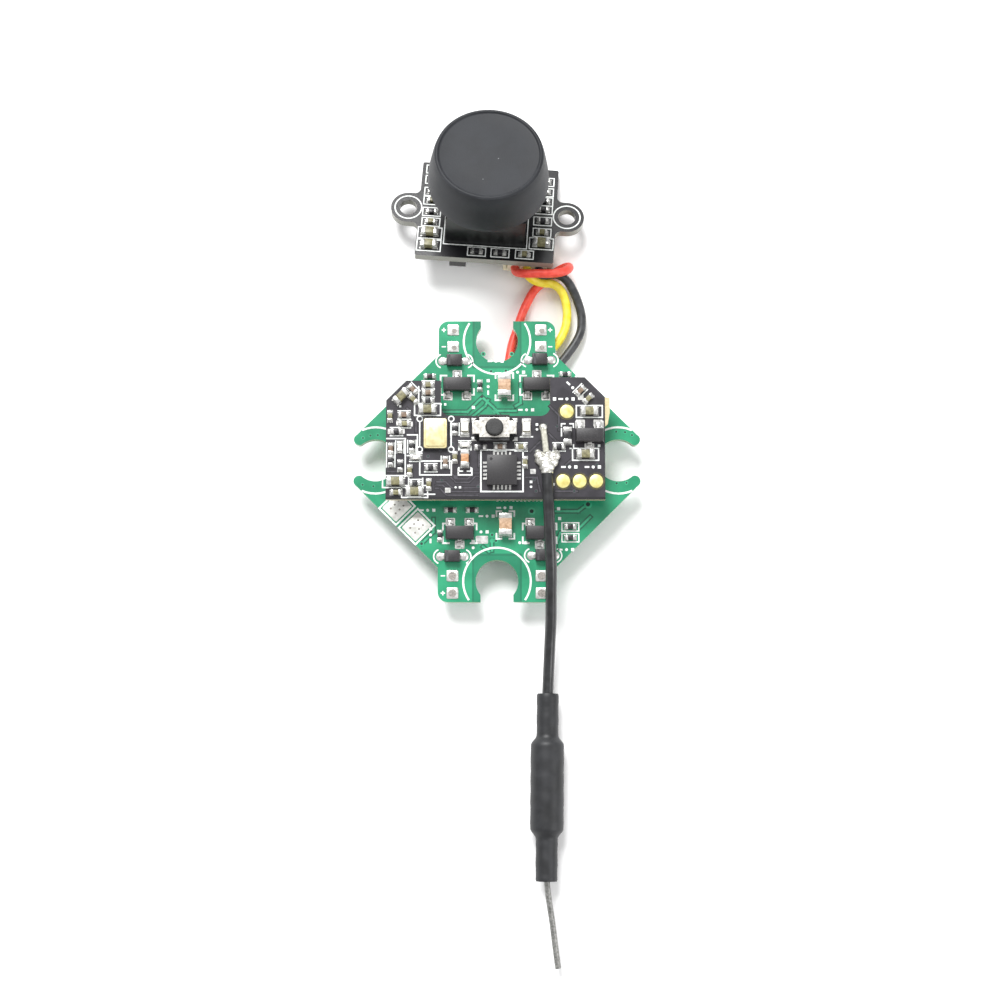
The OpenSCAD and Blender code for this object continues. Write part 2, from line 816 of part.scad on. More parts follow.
module camera_small_parts() {
  column = camera_width / 2 - camera_column_inset;
  front = -(camera_depth / 2 + holder_side / 2) / 2;
  color("dimgray")
    on_camera()
      translate([0, 0, camera_thickness]) {
        chip_parts([for (y = camera_left_rows) [-column, y, 0]], small_part);
        chip_parts([for (y = camera_right_rows) [column, y, 0]], small_part);
        chip_parts([for (y = camera_medium_left) [-column, y, 0]], medium_part);
        chip_parts([for (y = camera_medium_right) [column, y, 0]], medium_part);
        chip_parts([for (x = camera_front_parts) [x, front, 0]], small_part);
      }
}

module camera_underside_part() {
  color("black")
    on_camera()
      translate([-2.7, -camera_depth / 2 + 0.8, -1.0]) centred_box([1.7, 1.4, 1.0]);
}

module camera_socket() {
  opening = [socket[0] - 2 * socket_wall, socket[1] - socket_wall, socket[2] - 2 * socket_wall];
  color("cornsilk")
    on_camera()
      translate([socket_left, socket_near, -socket[2]])
        difference() {
          cube(socket);
          translate([socket_wall, -past, socket_wall]) cube([opening[0], opening[1] + past, opening[2]]);
        }
}

module camera_plug() {
  inset = socket_wall + plug_clearance;
  color("ivory")
    on_camera()
      translate([socket_left + inset, socket_near - plug_reach, inset - socket[2]])
        cube([socket[0] - 2 * inset, socket[1] - inset + plug_reach, socket[2] - 2 * inset]);
}

// ---- lens ----

module lens_barrel() {
  color("black")
    on_camera()
      rotate_extrude()
        polygon([
          [barrel_bore, thread_bottom], [thread_radius, thread_bottom],
          [thread_radius, head_bottom], [head_radius, head_bottom],
          [head_radius, head_top], [front_seat, head_top],
          [front_seat, head_top - front_recess], [barrel_bore, head_top - front_recess],
        ]);
}

module front_glass() {
  radius = front_seat - lens_clearance;
  bulge = 0.6;
  ball = (radius * radius + bulge * bulge) / (2 * bulge);
  seat = head_top - front_recess + lens_clearance;
  color("lightblue")
    on_camera() {
      translate([0, 0, seat]) cylinder(r = radius, h = 0.5);
      intersection() {
        translate([0, 0, seat + 0.5 + bulge - ball]) sphere(ball);
        translate([0, 0, seat + 0.5 - bite]) cylinder(r = radius, h = bulge + 2 * bite);
      }
    }
}

module rear_glass() {
  color("lightblue")
    on_camera() translate([0, 0, thread_bottom + 0.3]) cylinder(r = barrel_bore - lens_clearance, h = 1.2);
}

module lens_cap() {
  rim = head_bottom - cap_overhang;
  bore = head_radius + lens_clearance;
  color("dimgray")
    on_camera()
      rotate_extrude()
        polygon([
          [bore, rim], [cap_rim_radius, rim],
          [cap_rim_radius - cap_taper, cap_top], [cap_rim_radius - cap_taper - 0.6, cap_top],
          [cap_rim_radius - cap_taper - 0.8, cap_top - cap_lip], [0, cap_top - cap_lip],
          [0, head_top + cap_headroom], [bore, head_top + cap_headroom],
        ]);
}

// ---- camera wires ----

module wire_red() {
  color("tomato") cord(wire_red_route, wire_diameter, wire_sides);
}

module wire_yellow() {
  color("gold") cord(wire_yellow_route, wire_diameter, wire_sides);
}

module wire_black() {
  color("black") cord(wire_black_route, wire_diameter, wire_sides);
}

module wire_joints() {
  color("whitesmoke")
    for (route = [wire_red_route, wire_yellow_route, wire_black_route])
      let(last = route[len(route) - 1])
        translate([last[0], last[1], main_height - joint_drop]) cylinder(r = joint_radius, h = joint_drop);
}

main_board();
motor_pads();
battery_pads();
motor_mosfet(mosfet_places[0], 1);  // motor_mosfet_1
motor_mosfet(mosfet_places[1], 1);  // motor_mosfet_2
motor_mosfet(mosfet_places[2], -1);  // motor_mosfet_3
motor_mosfet(mosfet_places[3], -1);  // motor_mosfet_4
flyback_diode(diode_places[0], 1);  // flyback_diode_1
flyback_diode(diode_places[1], 1);  // flyback_diode_2
flyback_diode(diode_places[2], -1);  // flyback_diode_3
flyback_diode(diode_places[3], -1);  // flyback_diode_4
bulk_capacitor(bulk_places[0], 1);  // bulk_capacitor_1
bulk_capacitor(bulk_places[1], -1);  // bulk_capacitor_2
main_passives();
mcu_chip();
gyro_chip();
boost_inductor();
boost_regulator();
output_capacitors();
header_spacer(-1);  // header_spacer_left
header_spacer(1);  // header_spacer_right
header_pins(-1);  // header_pins_left
header_pins(1);  // header_pins_right
video_board();
crystal_base();
crystal_lid();
button_base();
button_plate();
button_contact();
button_plunger();
status_led(led_left_place);  // status_led_left
status_led(led_right_place);  // status_led_right
transmitter_chip();
video_regulator();
video_medium_parts();
video_small_parts();
test_pads();
antenna_solder();
antenna_core();
antenna_coax();
antenna_sleeve();
antenna_ferrule();
antenna_whip();
camera_board();
lens_holder();
image_sensor();
infrared_filter();
camera_small_parts();
camera_underside_part();
camera_socket();
camera_plug();
lens_barrel();
front_glass();
rear_glass();
lens_cap();
wire_red();
wire_yellow();
wire_black();
wire_joints();
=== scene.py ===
# %% [markdown]
# # Flight controller board with a camera module and an antenna
# A small flying machine carries this set: a green main board, a black video transmitter board stacked
# on it, a camera module on three soft wires, and a coax antenna. The CAD model is loaded first and
# never changed. It says where each piece is, and the new pieces made here take their places from it.

# %% Load the CAD model as the frame
import functools
import itertools
import json
import math
import random

import bmesh
import bpy
from mathutils import Matrix, Vector


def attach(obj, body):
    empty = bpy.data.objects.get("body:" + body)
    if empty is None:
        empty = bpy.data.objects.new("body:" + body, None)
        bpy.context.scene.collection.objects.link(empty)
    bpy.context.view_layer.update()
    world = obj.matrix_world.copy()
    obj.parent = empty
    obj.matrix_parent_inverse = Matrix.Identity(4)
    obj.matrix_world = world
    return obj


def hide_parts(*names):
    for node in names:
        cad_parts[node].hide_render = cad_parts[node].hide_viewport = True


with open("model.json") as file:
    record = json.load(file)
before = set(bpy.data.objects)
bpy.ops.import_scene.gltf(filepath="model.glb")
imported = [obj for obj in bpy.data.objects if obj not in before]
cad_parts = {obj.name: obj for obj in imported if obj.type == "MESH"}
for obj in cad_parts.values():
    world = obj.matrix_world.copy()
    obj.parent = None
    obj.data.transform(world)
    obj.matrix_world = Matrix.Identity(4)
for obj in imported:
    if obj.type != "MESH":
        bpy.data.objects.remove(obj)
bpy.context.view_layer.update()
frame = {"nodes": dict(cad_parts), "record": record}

record = frame["record"]
nodes = frame["nodes"]
mounts = {mount["name"]: mount for mount in record["mounts"]}
MM = 0.001

# %% [markdown]
# ## The camera
# The set is looked down on from almost overhead, a little towards its antenna end. A long lens keeps
# the boards square, so a 72 mm lens on a 36 mm sensor is used from about 200 mm away.

# %% The camera
camera_data = bpy.data.cameras.new("camera")
camera_data.lens = 72
camera_data.sensor_width = 36
camera_data.clip_start = 0.01
view_camera = bpy.data.objects.new("camera", camera_data)
bpy.context.scene.collection.objects.link(view_camera)
view_camera.location = (0.0003046, -0.0321794, 0.2031186)
view_camera.rotation_euler = (math.radians(8), 0, 0)
bpy.context.scene.camera = view_camera
print("camera height in mm:", round(view_camera.location.z / MM, 1))

# %% [markdown]
# ## Cords
# A cord is a curve with a round section. A Bezier curve with automatic handles passes through each of
# its points smoothly, which suits silicone wire and thin coax: neither of them has corners. The points
# are those of the CAD model's own routes, in millimetres. The section is a circle of unit radius that
# each point's own radius scales, so the curve's box hugs the cord.

# %% A helper that makes a cord
def tube(name, route, diameter):
    """A smooth cord through points in millimetres."""
    curve = bpy.data.curves.new(name, "CURVE")
    curve.dimensions = "3D"
    curve.bevel_depth = 1.0
    curve.bevel_resolution = 5
    curve.resolution_u = 8
    curve.use_fill_caps = True
    line = curve.splines.new("BEZIER")
    line.bezier_points.add(len(route) - 1)
    for knot, point in zip(line.bezier_points, route):
        knot.co = Vector(point) * MM
        knot.radius = diameter * MM / 2
        knot.handle_left_type = knot.handle_right_type = "AUTO"
    cord = bpy.data.objects.new(name, curve)
    bpy.context.scene.collection.objects.link(cord)
    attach(cord, "root")
    spans = zip(route, route[1:])
    print(name, "is about", round(sum((Vector(b) - Vector(a)).length for a, b in spans), 1), "mm long")
    return cord


# %% The coax, the whip and the camera wires
COAX_Z = 6.615
coax_route = [
    (5.0, -1.9, COAX_Z), (5.1, -4.2, COAX_Z), (5.2, -6.6, 6.5), (5.3, -9.0, 6.1),
    (5.4, -11.4, 5.4), (5.4, -13.8, 4.4), (5.4, -16.2, 3.4), (5.3, -18.6, 2.5),
    (5.2, -21.0, 1.9), (5.1, -23.4, 1.75), (5.05, -26.2, 1.75), (5.0, -29.0, 1.75),
    (5.0, -32.0, 1.75), (5.0, -35.0, 1.75), (4.95, -38.0, 1.75), (4.9, -41.0, 1.75),
]
whip_route = [
    (4.9, -41.0, 1.75), (5.0, -42.6, 1.7), (5.2, -44.2, 1.6), (5.45, -45.8, 1.5),
    (5.65, -47.4, 1.35), (5.85, -49.0, 1.25), (6.05, -50.5, 1.15),
]
wire_routes = {
    "red": [
        (1.86, 20.75, 2.14), (1.85, 20.2, 2.32), (1.95, 19.75, 2.6), (2.5, 19.45, 3.05),
        (3.3, 19.35, 3.3), (4.3, 19.35, 3.35), (5.3, 19.35, 3.3), (6.2, 19.45, 3.2),
        (6.95, 19.7, 2.95), (7.4, 20.1, 2.4), (7.35, 20.5, 1.6), (6.8, 20.5, 0.95),
        (6.0, 20.1, 0.6), (5.2, 19.5, 0.5), (4.6, 18.95, 0.5), (4.0, 18.4, 0.55),
        (3.55, 17.75, 0.65), (3.2, 17.05, 0.7), (2.85, 16.3, 0.8), (2.5, 15.4, 0.85),
        (2.1, 14.1, 0.9), (1.6, 12.6, 1.0), (1.3, 11.1, 1.1), (1.1, 9.6, 1.3), (1.0, 8.6, 1.4),
    ],
    "yellow": [
        (3.11, 20.67, 2.14), (3.09, 20.15, 2.3), (3.08, 19.7, 2.2), (3.5, 19.2, 1.9),
        (4.2, 18.95, 1.5), (4.9, 18.8, 1.45), (5.6, 18.75, 1.4), (6.15, 18.5, 1.35),
        (6.6, 18.1, 1.2), (6.95, 17.4, 1.05), (7.2, 16.3, 0.9), (7.2, 15.0, 0.9),
        (6.95, 13.9, 0.95), (6.4, 12.8, 1.1), (5.8, 12.0, 1.3), (5.4, 11.4, 1.4),
    ],
    "black": [
        (4.36, 20.59, 2.14), (4.33, 20.07, 2.3), (4.35, 19.65, 2.25), (4.75, 19.5, 2.1),
        (5.4, 19.55, 2.0), (6.1, 19.6, 1.9), (6.7, 19.4, 1.75), (7.25, 19.0, 1.5),
        (7.8, 18.2, 1.2), (8.35, 16.95, 1.0), (8.7, 15.65, 0.9), (8.75, 15.0, 0.9),
        (8.65, 13.9, 0.9), (8.2, 12.8, 1.0), (7.5, 11.7, 1.1), (6.5, 10.4, 1.3), (5.6, 9.5, 1.4),
    ],
}
coax = tube("coax_cable", coax_route, 1.13)
whip = tube("whip_wire", whip_route, 0.6)
wires = {colour: tube("camera_wire_" + colour, route, 0.9) for colour, route in wire_routes.items()}

# %% [markdown]
# ## Writing finishes as expressions
# A finish is a small network of shader nodes. Wrapping a socket in a class whose operators add Math
# nodes lets a mask be written as a sum, and one method makes any other node.

# %% Helpers for finishes
def paint(red, green, blue):
    """A display colour, 0 to 255, as the linear colour that a shader takes."""
    parts = [c / 255 for c in (red, green, blue)]
    return (*[c / 12.92 if c <= 0.04045 else ((c + 0.055) / 1.055) ** 2.4 for c in parts], 1.0)


class Value:
    """A shader socket that Python can calculate with."""

    def __init__(self, finish, socket):
        self.finish, self.socket = finish, socket

    def _math(self, operation, *values):
        return self.finish.node("ShaderNodeMath", {"operation": operation}, dict(enumerate(values)))

    def __add__(self, other):
        return self._math("ADD", self, other)

    def __sub__(self, other):
        return self._math("SUBTRACT", self, other)

    def __rsub__(self, other):
        return self._math("SUBTRACT", other, self)

    def __mul__(self, other):
        return self._math("MULTIPLY", self, other)

    __radd__ = __add__
    __rmul__ = __mul__

    def over(self, limit):
        return self._math("GREATER_THAN", self, limit)

    def under(self, limit):
        return self._math("LESS_THAN", self, limit)

    def size(self):
        return self._math("ABSOLUTE", self)

    def sharpen(self, low, high):
        return self.finish.node(
            "ShaderNodeMapRange", {"interpolation_type": "SMOOTHSTEP"}, {0: self, 1: low, 2: high}
        )


# %% A finish
class Finish:
    """A material with one Principled shader."""

    def __init__(self, name, colour, roughness, metallic=0.0, coat=0.0, coat_roughness=0.1):
        self.material = bpy.data.materials.new(name)
        self.material.use_nodes = True
        self.tree = self.material.node_tree
        self.shader = self.tree.nodes["Principled BSDF"]
        self.set("Base Color", colour)
        self.set("Roughness", roughness)
        self.set("Metallic", metallic)
        self.set("Coat Weight", coat)
        self.set("Coat Roughness", coat_roughness)
        self.material.diffuse_color = colour
        finishes[name] = self

    def set(self, socket, value):
        if isinstance(value, Value):
            self.tree.links.new(value.socket, self.shader.inputs[socket])
        else:
            self.shader.inputs[socket].default_value = value
        return self

    def node(self, kind, settings=None, sockets=None, output=0):
        made = self.tree.nodes.new(kind)
        for key, value in (settings or {}).items():
            setattr(made, key, value)
        for key, value in (sockets or {}).items():
            if isinstance(value, Value):
                self.tree.links.new(value.socket, made.inputs[key])
            else:
                made.inputs[key].default_value = value
        return Value(self, made.outputs[output])

    def mix(self, mask, first, second):
        return self.node("ShaderNodeMix", {"data_type": "RGBA"}, {0: mask, 6: first, 7: second}, 2)

    def place(self):
        return self.node("ShaderNodeTexCoord", output="Object")

    def axes(self):
        place = self.place()
        return [self.node("ShaderNodeSeparateXYZ", None, {0: place}, axis) for axis in range(3)]

    def grain(self, millimetres, detail=3.0, stretch=(1, 1, 1)):
        """Cloudy noise whose features are about this wide."""
        place = self.node("ShaderNodeMapping", None, {"Vector": self.place(), "Scale": stretch})
        sockets = {"Vector": place, "Scale": 1 / (millimetres * MM), "Detail": detail}
        return self.node("ShaderNodeTexNoise", None, sockets)

    def upright(self):
        """1 on the sides of a flat piece and 0 on its top and underside."""
        normal = self.node("ShaderNodeNewGeometry", output="Normal")
        return self.node("ShaderNodeSeparateXYZ", None, {0: normal}, 2).size().under(0.5)

    def bump(self, height, millimetres):
        sockets = {"Strength": 1.0, "Distance": millimetres * MM, "Height": height}
        return self.set("Normal", self.node("ShaderNodeBump", None, sockets))


finishes = {}

# %% [markdown]
# ## Board finishes
# A circuit board is glass-fibre laminate under a thin coloured lacquer, the solder mask. Copper under
# the mask makes it lighter, and bare laminate shows at the cut sides. So the mask's colour is mixed by
# masks in board coordinates, its cloudiness comes from fine noise, and faces that stand upright get
# the laminate with its layers. On the black board, a painted shade darkens the strip along its near edge.

# %% The laminate and the green mask
def board_sides(finish, top, laminate, layer):
    """Puts striped laminate on the upright faces and the mask's colour on the others."""
    z = finish.axes()[2]
    layers = finish.node("ShaderNodeMath", {"operation": "SINE"}, {0: z * (2 * math.pi / (0.12 * MM))})
    side = finish.mix(layers.sharpen(-0.6, 0.9), laminate, layer)
    return finish.mix(finish.upright(), top, side)


green = Finish("green_mask", paint(36, 150, 108), 0.3, coat=0.35, coat_roughness=0.12)
x, y, z = green.axes()
bare = x.size().under(2.3 * MM) * y.size().over(9.75 * MM)
rim = x.size().under(2.5 * MM) * y.size().over(9.5 * MM) - bare
cloud = green.grain(2.5).sharpen(0.3, 0.7)
weave = green.grain(0.12, 2.0)
pour = green.mix(cloud * 0.6 + weave * 0.25, paint(18, 128, 90), paint(48, 162, 118))
laid = green.mix(bare * 0.5, pour, paint(14, 104, 78))
laid = green.mix(rim * 0.6, laid, paint(10, 84, 64))
green.set("Base Color", board_sides(green, laid, paint(172, 196, 150), paint(70, 130, 96)))
green.set("Roughness", weave * 0.12 + 0.24)
green.bump(weave * 0.4 + cloud * 0.6, 0.008)
print("green mask made")

# %% The black masks
black = Finish("black_mask", paint(44, 42, 47), 0.34, coat=0.2, coat_roughness=0.15)
x, y, z = black.axes()
# Painted shade: the strip of mask along the near edge, below y = -4.15 mm, is painted darker
near_edge_painted_shade = y.under(-4.15 * MM)
tab = x.over(10.82 * MM)
cloud = black.grain(1.6).sharpen(0.35, 0.65)
weave = black.grain(0.1, 2.0)
pour = black.mix(cloud * 0.5 + weave * 0.2, paint(36, 34, 39), paint(62, 59, 66))
# The near-edge strip takes the darker painted shade colour
pour = black.mix(near_edge_painted_shade, pour, paint(24, 23, 27))
sided = board_sides(black, pour, paint(206, 196, 160), paint(96, 88, 74))
broken = black.mix(black.grain(0.2, 4.0), paint(225, 214, 176), paint(176, 160, 118))
black.set("Base Color", black.mix(tab, sided, broken))
black.set("Roughness", tab * 0.5 + weave * 0.12 + 0.26)
black.bump(weave * 0.4 + cloud * 0.6 + tab * black.grain(0.15, 5.0) * 6, 0.008)

camera_mask = Finish("camera_board_mask", paint(18, 18, 20), 0.28, coat=0.35, coat_roughness=0.1)
weave = camera_mask.grain(0.15, 2.0)
top = camera_mask.mix(weave, paint(12, 12, 14), paint(26, 26, 29))
camera_mask.set("Base Color", board_sides(camera_mask, top, paint(158, 158, 146), paint(70, 70, 64)))
camera_mask.bump(weave, 0.006)
print("black masks made")

# %% [markdown]
# ## Metal, moulded and rubber finishes
# Each of the small finishes is a base colour with grain at its real scale: reflowed solder is smooth but
# wavy, hand solder is rough, moulded epoxy is finely pitted, and rubber is satin with a little dust.

# %% A plain mixed finish
def grained(name, dark, light, roughness, grain, metallic=0.0, coat=0.0, bump=0.0, spread=0.1, detail=3.0):
    """A finish with two close colours, uneven roughness and a fine relief."""
    finish = Finish(name, light, roughness, metallic, coat)
    clouds = finish.grain(grain, detail)
    finish.set("Base Color", finish.mix(clouds.sharpen(0.25, 0.75), dark, light))
    finish.set("Roughness", clouds * (2 * spread) + (roughness - spread))
    if bump:
        finish.bump(clouds, bump)
    return finish


silk = grained("white_ink", paint(222, 228, 224), paint(250, 252, 250), 0.6, 0.2, bump=0.006)
tin = grained("reflowed_tin", paint(196, 196, 193), paint(240, 240, 237), 0.3, 0.35, 0.8, bump=0.008)
hand_solder = grained("hand_solder", paint(198, 196, 186), paint(250, 249, 244), 0.32, 0.45, 0.8, bump=0.09)
bright_tin = grained("levelled_tin", paint(224, 224, 218), paint(252, 252, 247), 0.38, 0.4, 0.35, bump=0.008)
gold = grained("gold_pad", paint(214, 200, 118), paint(240, 232, 160), 0.35, 0.5, 0.35, bump=0.01)
ring_ink = grained("olive_ring", paint(52, 48, 28), paint(84, 78, 46), 0.45, 0.2)
epoxy = grained("moulded_epoxy", paint(30, 29, 31), paint(56, 54, 56), 0.45, 0.08, bump=0.01, spread=0.06)
ceramic_tan = grained("tan_ceramic", paint(166, 132, 104), paint(204, 172, 142), 0.45, 0.25, bump=0.008)
ceramic_olive = grained("olive_ceramic", paint(96, 92, 66), paint(142, 138, 104), 0.42, 0.25, bump=0.008)
ceramic_brown = grained("brown_ceramic", paint(98, 80, 66), paint(142, 122, 104), 0.45, 0.25, bump=0.008)
ceramic_dark = grained("black_glaze", paint(28, 28, 30), paint(54, 53, 56), 0.35, 0.2, bump=0.005)
ceramic_white = grained("white_ceramic", paint(206, 204, 194), paint(238, 236, 228), 0.45, 0.2, bump=0.005)
orange = grained("orange_glaze", paint(164, 118, 82), paint(206, 160, 118), 0.4, 0.25, bump=0.006)
ferrite = grained("ferrite", paint(44, 45, 48), paint(78, 79, 82), 0.6, 0.15, bump=0.02)
tantalum = grained("yellow_resin", paint(198, 150, 48), paint(232, 184, 78), 0.45, 0.3, bump=0.006)
black_plastic = grained("black_plastic", paint(26, 26, 27), paint(46, 46, 48), 0.5, 0.12, bump=0.008)
plunger_plastic = grained("plunger_plastic", paint(34, 34, 35), paint(56, 56, 56), 0.55, 0.12, bump=0.008)
gloss = grained("gloss_plastic", paint(6, 6, 8), paint(14, 14, 16), 0.34, 1.2, coat=0.15, spread=0.05)
steel = grained("stamped_steel", paint(212, 208, 200), paint(246, 243, 236), 0.3, 0.3, 0.8, bump=0.006)
lid_metal = grained("crystal_lid", paint(212, 197, 143), paint(239, 229, 180), 0.34, 0.6, 0.35, bump=0.01)
pin_gold = grained("pin_gold", paint(196, 158, 78), paint(226, 190, 108), 0.3, 0.3, 0.9)
resin = grained("milky_resin", paint(232, 230, 220), paint(252, 250, 242), 0.3, 0.4, coat=0.3, bump=0.005)
cream = grained("cream_plastic", paint(212, 202, 170), paint(238, 230, 204), 0.4, 0.4, bump=0.006)
jacket = grained("coax_jacket", paint(24, 25, 26), paint(44, 45, 47), 0.34, 0.8, coat=0.2, bump=0.01)
core = grained("clear_dielectric", paint(170, 168, 154), paint(214, 212, 200), 0.2, 0.3, coat=0.5, bump=0.01)
sensor = grained("sensor_window", paint(24, 26, 34), paint(44, 46, 58), 0.1, 0.6, coat=0.5, spread=0.04)
red_filter = grained("red_filter", paint(150, 60, 60), paint(176, 78, 74), 0.08, 1.0, coat=0.5, spread=0.03)
red_wire = grained("red_silicone", paint(228, 66, 52), paint(248, 92, 76), 0.42, 0.6, bump=0.01)
yellow_wire = grained("yellow_silicone", paint(244, 220, 46), paint(255, 240, 92), 0.42, 0.6, bump=0.01)
black_wire = grained("black_silicone", paint(40, 41, 43), paint(66, 67, 69), 0.42, 0.6, bump=0.01)
whip_metal = grained("whip_wire_metal", paint(104, 104, 102), paint(160, 160, 157), 0.4, 0.25, 0.6, bump=0.03)
heat_shrink = grained("heat_shrink", paint(24, 25, 27), paint(40, 41, 44), 0.5, 1.4, bump=0.014)
lens_coat = grained("coated_glass", paint(16, 12, 34), paint(34, 26, 58), 0.04, 3.0, coat=1.0, spread=0.02)
print(len(finishes), "finishes made")

# %% [markdown]
# The lens cap is soft matt rubber that picks up dust, so its finish has three layers: a broad, faint
# cloudiness, a fine grain in the relief, and rare pale specks where a noise of points is near a centre.

# %% The cap's rubber
rubber = Finish("cap_rubber", paint(28, 30, 33), 0.55)
rubber.set("Specular IOR Level", 0.3)
cloud = rubber.grain(3.0).sharpen(0.3, 0.7)
grain = rubber.grain(0.12, 4.0)
points = rubber.node("ShaderNodeTexVoronoi", None, {"Vector": rubber.place(), "Scale": 900.0})
specks = points.under(0.06) * rubber.grain(2.0, 1.0).over(0.56)
skin = rubber.mix(cloud * 0.7 + grain * 0.3, paint(26, 28, 32), paint(46, 48, 52))
rubber.set("Base Color", rubber.mix(specks * 0.6, skin, paint(150, 152, 154)))
rubber.set("Roughness", grain * 0.14 + cloud * 0.1 + 0.42)
rubber.bump(grain * 0.7 + cloud * 0.3 + specks * 0.8, 0.014)
print("cap rubber made")

# %% [markdown]
# ## Building blocks
# Surface-mount parts are small blocks with moulded draft and softened edges, so one cached function
# makes a block from a cube, and another stamps copies of it into a larger mesh. Working in millimetres
# and scaling once at the end keeps the numbers readable.

# %% Blocks, discs and arcs
def bevel(bm, edges, offset, segments=2, affect="EDGES"):
    bmesh.ops.bevel(
        bm, geom=list(edges), offset=offset, offset_type="OFFSET", segments=segments, profile=0.5,
        affect=affect, material=-1, clamp_overlap=True,
    )


def as_mesh(bm, finish=None):
    for face in bm.faces:
        if finish is not None:
            face.material_index = finish
    mesh = bpy.data.meshes.new("shape")
    bm.to_mesh(mesh)
    bm.free()
    return mesh


@functools.lru_cache(None)
def block(size, corner=0.0, edge=0.0, draft=1.0, finish=0, lean=0.0):
    """A box on z = 0: corner rounds its upright edges, edge its others, and draft narrows its top."""
    bm = bmesh.new()
    bmesh.ops.create_cube(bm, size=1.0)
    bmesh.ops.translate(bm, vec=(0, 0, 0.5), verts=bm.verts)
    bmesh.ops.scale(bm, vec=size, verts=bm.verts)
    if corner:
        bevel(bm, [e for e in bm.edges if abs(e.verts[0].co.z - e.verts[1].co.z) > 1e-6], corner, 4)
    upper = [v for v in bm.verts if v.co.z > size[2] / 2]
    bmesh.ops.scale(bm, vec=(draft, draft, 1), verts=upper)
    bmesh.ops.translate(bm, vec=(lean, 0, 0), verts=upper)
    if edge:
        bevel(bm, [e for e in bm.edges if e.calc_face_angle(0) > math.radians(40)], edge)
    return as_mesh(bm, finish)


@functools.lru_cache(None)
def disc(radius, height, edge=0.0, finish=0, segments=32, top=1.0):
    """A short cylinder on z = 0 with a softened rim."""
    bm = bmesh.new()
    bmesh.ops.create_cone(
        bm, cap_ends=True, segments=segments, radius1=radius, radius2=radius * top, depth=height
    )
    bmesh.ops.translate(bm, vec=(0, 0, height / 2), verts=bm.verts)
    if edge:
        bevel(bm, [e for e in bm.edges if e.calc_face_angle(0) > math.radians(40)], edge)
    return as_mesh(bm, finish)


# %% Bent strips, places and stamps
@functools.lru_cache(None)
def ring_part(radius, width, height, start, stop, finish=0):
    """A flat strip bent round the origin from one angle to another, in degrees."""
    bm = bmesh.new()
    bmesh.ops.create_grid(bm, x_segments=1, y_segments=1, size=0.5)
    bmesh.ops.delete(bm, geom=bm.faces[:], context="FACES_ONLY")
    bmesh.ops.scale(bm, vec=(width, height, 1), verts=bm.verts)
    bmesh.ops.rotate(bm, matrix=Matrix.Rotation(math.pi / 2, 3, "X"), verts=bm.verts)
    bmesh.ops.translate(bm, vec=(radius, 0, height / 2), verts=bm.verts)
    bmesh.ops.rotate(bm, matrix=Matrix.Rotation(math.radians(start), 3, "Z"), verts=bm.verts)
    full = abs(stop - start) > 359
    bmesh.ops.spin(
        bm, geom=bm.verts[:] + bm.edges[:], cent=(0, 0, 0), axis=(0, 0, 1),
        angle=math.radians(stop - start), steps=max(4, round(abs(stop - start) / 8)), use_merge=full,
    )
    if not full:
        bmesh.ops.holes_fill(bm, edges=bm.edges, sides=4)
    bmesh.ops.recalc_face_normals(bm, faces=bm.faces)
    return as_mesh(bm, finish)


def spot(x, y, z=0.0, turn=0.0):
    """A place on a board: a point in millimetres and a turn in degrees."""
    return Matrix.Translation((x, y, z)) @ Matrix.Rotation(math.radians(turn), 4, "Z")


def stamp(bm, shape, place, recolour=None):
    """Copies a shape into a mesh at a place; recolour changes its finish number 0."""
    first_vert, first_face = len(bm.verts), len(bm.faces)
    bm.from_mesh(shape)
    bm.verts.ensure_lookup_table()
    bmesh.ops.transform(bm, matrix=place, verts=bm.verts[first_vert:])
    if recolour is not None:
        bm.faces.ensure_lookup_table()
        for face in bm.faces[first_face:]:
            if face.material_index == 0:
                face.material_index = recolour


print("block, disc and arc helpers ready")

# %% [markdown]
# A finished piece goes into the scene with its place in its mesh. It rides on the CAD body that carries
# it, hides the CAD nodes it stands for, and is shaded smooth except across its sharp edges.

# %% Finishing a piece
def piece(name, bm, parts_finishes, body="root", stands_for=(), place=None, sharp=38):
    """Turns a mesh in millimetres into an object in the shared frame."""
    if place is not None:
        bmesh.ops.transform(bm, matrix=place, verts=bm.verts)
    bmesh.ops.scale(bm, vec=(MM, MM, MM), verts=bm.verts)
    mesh = bpy.data.meshes.new(name)
    bm.to_mesh(mesh)
    bm.free()
    mesh.shade_smooth()
    mesh.set_sharp_from_angle(angle=math.radians(sharp))
    for finish in parts_finishes:
        mesh.materials.append(finish.material)
    made = bpy.data.objects.new(name, mesh)
    bpy.context.scene.collection.objects.link(made)
    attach(made, body)
    if stands_for:
        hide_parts(*stands_for)
    print(name, "has", len(mesh.polygons), "faces")
    return made


# %% [markdown]
# ## Reading places from the CAD model
# One CAD node may hold many small parts. Merging a copy of its mesh and walking from vertex to vertex
# separates them, and the smallest upright box round each gives its middle, size and turn.

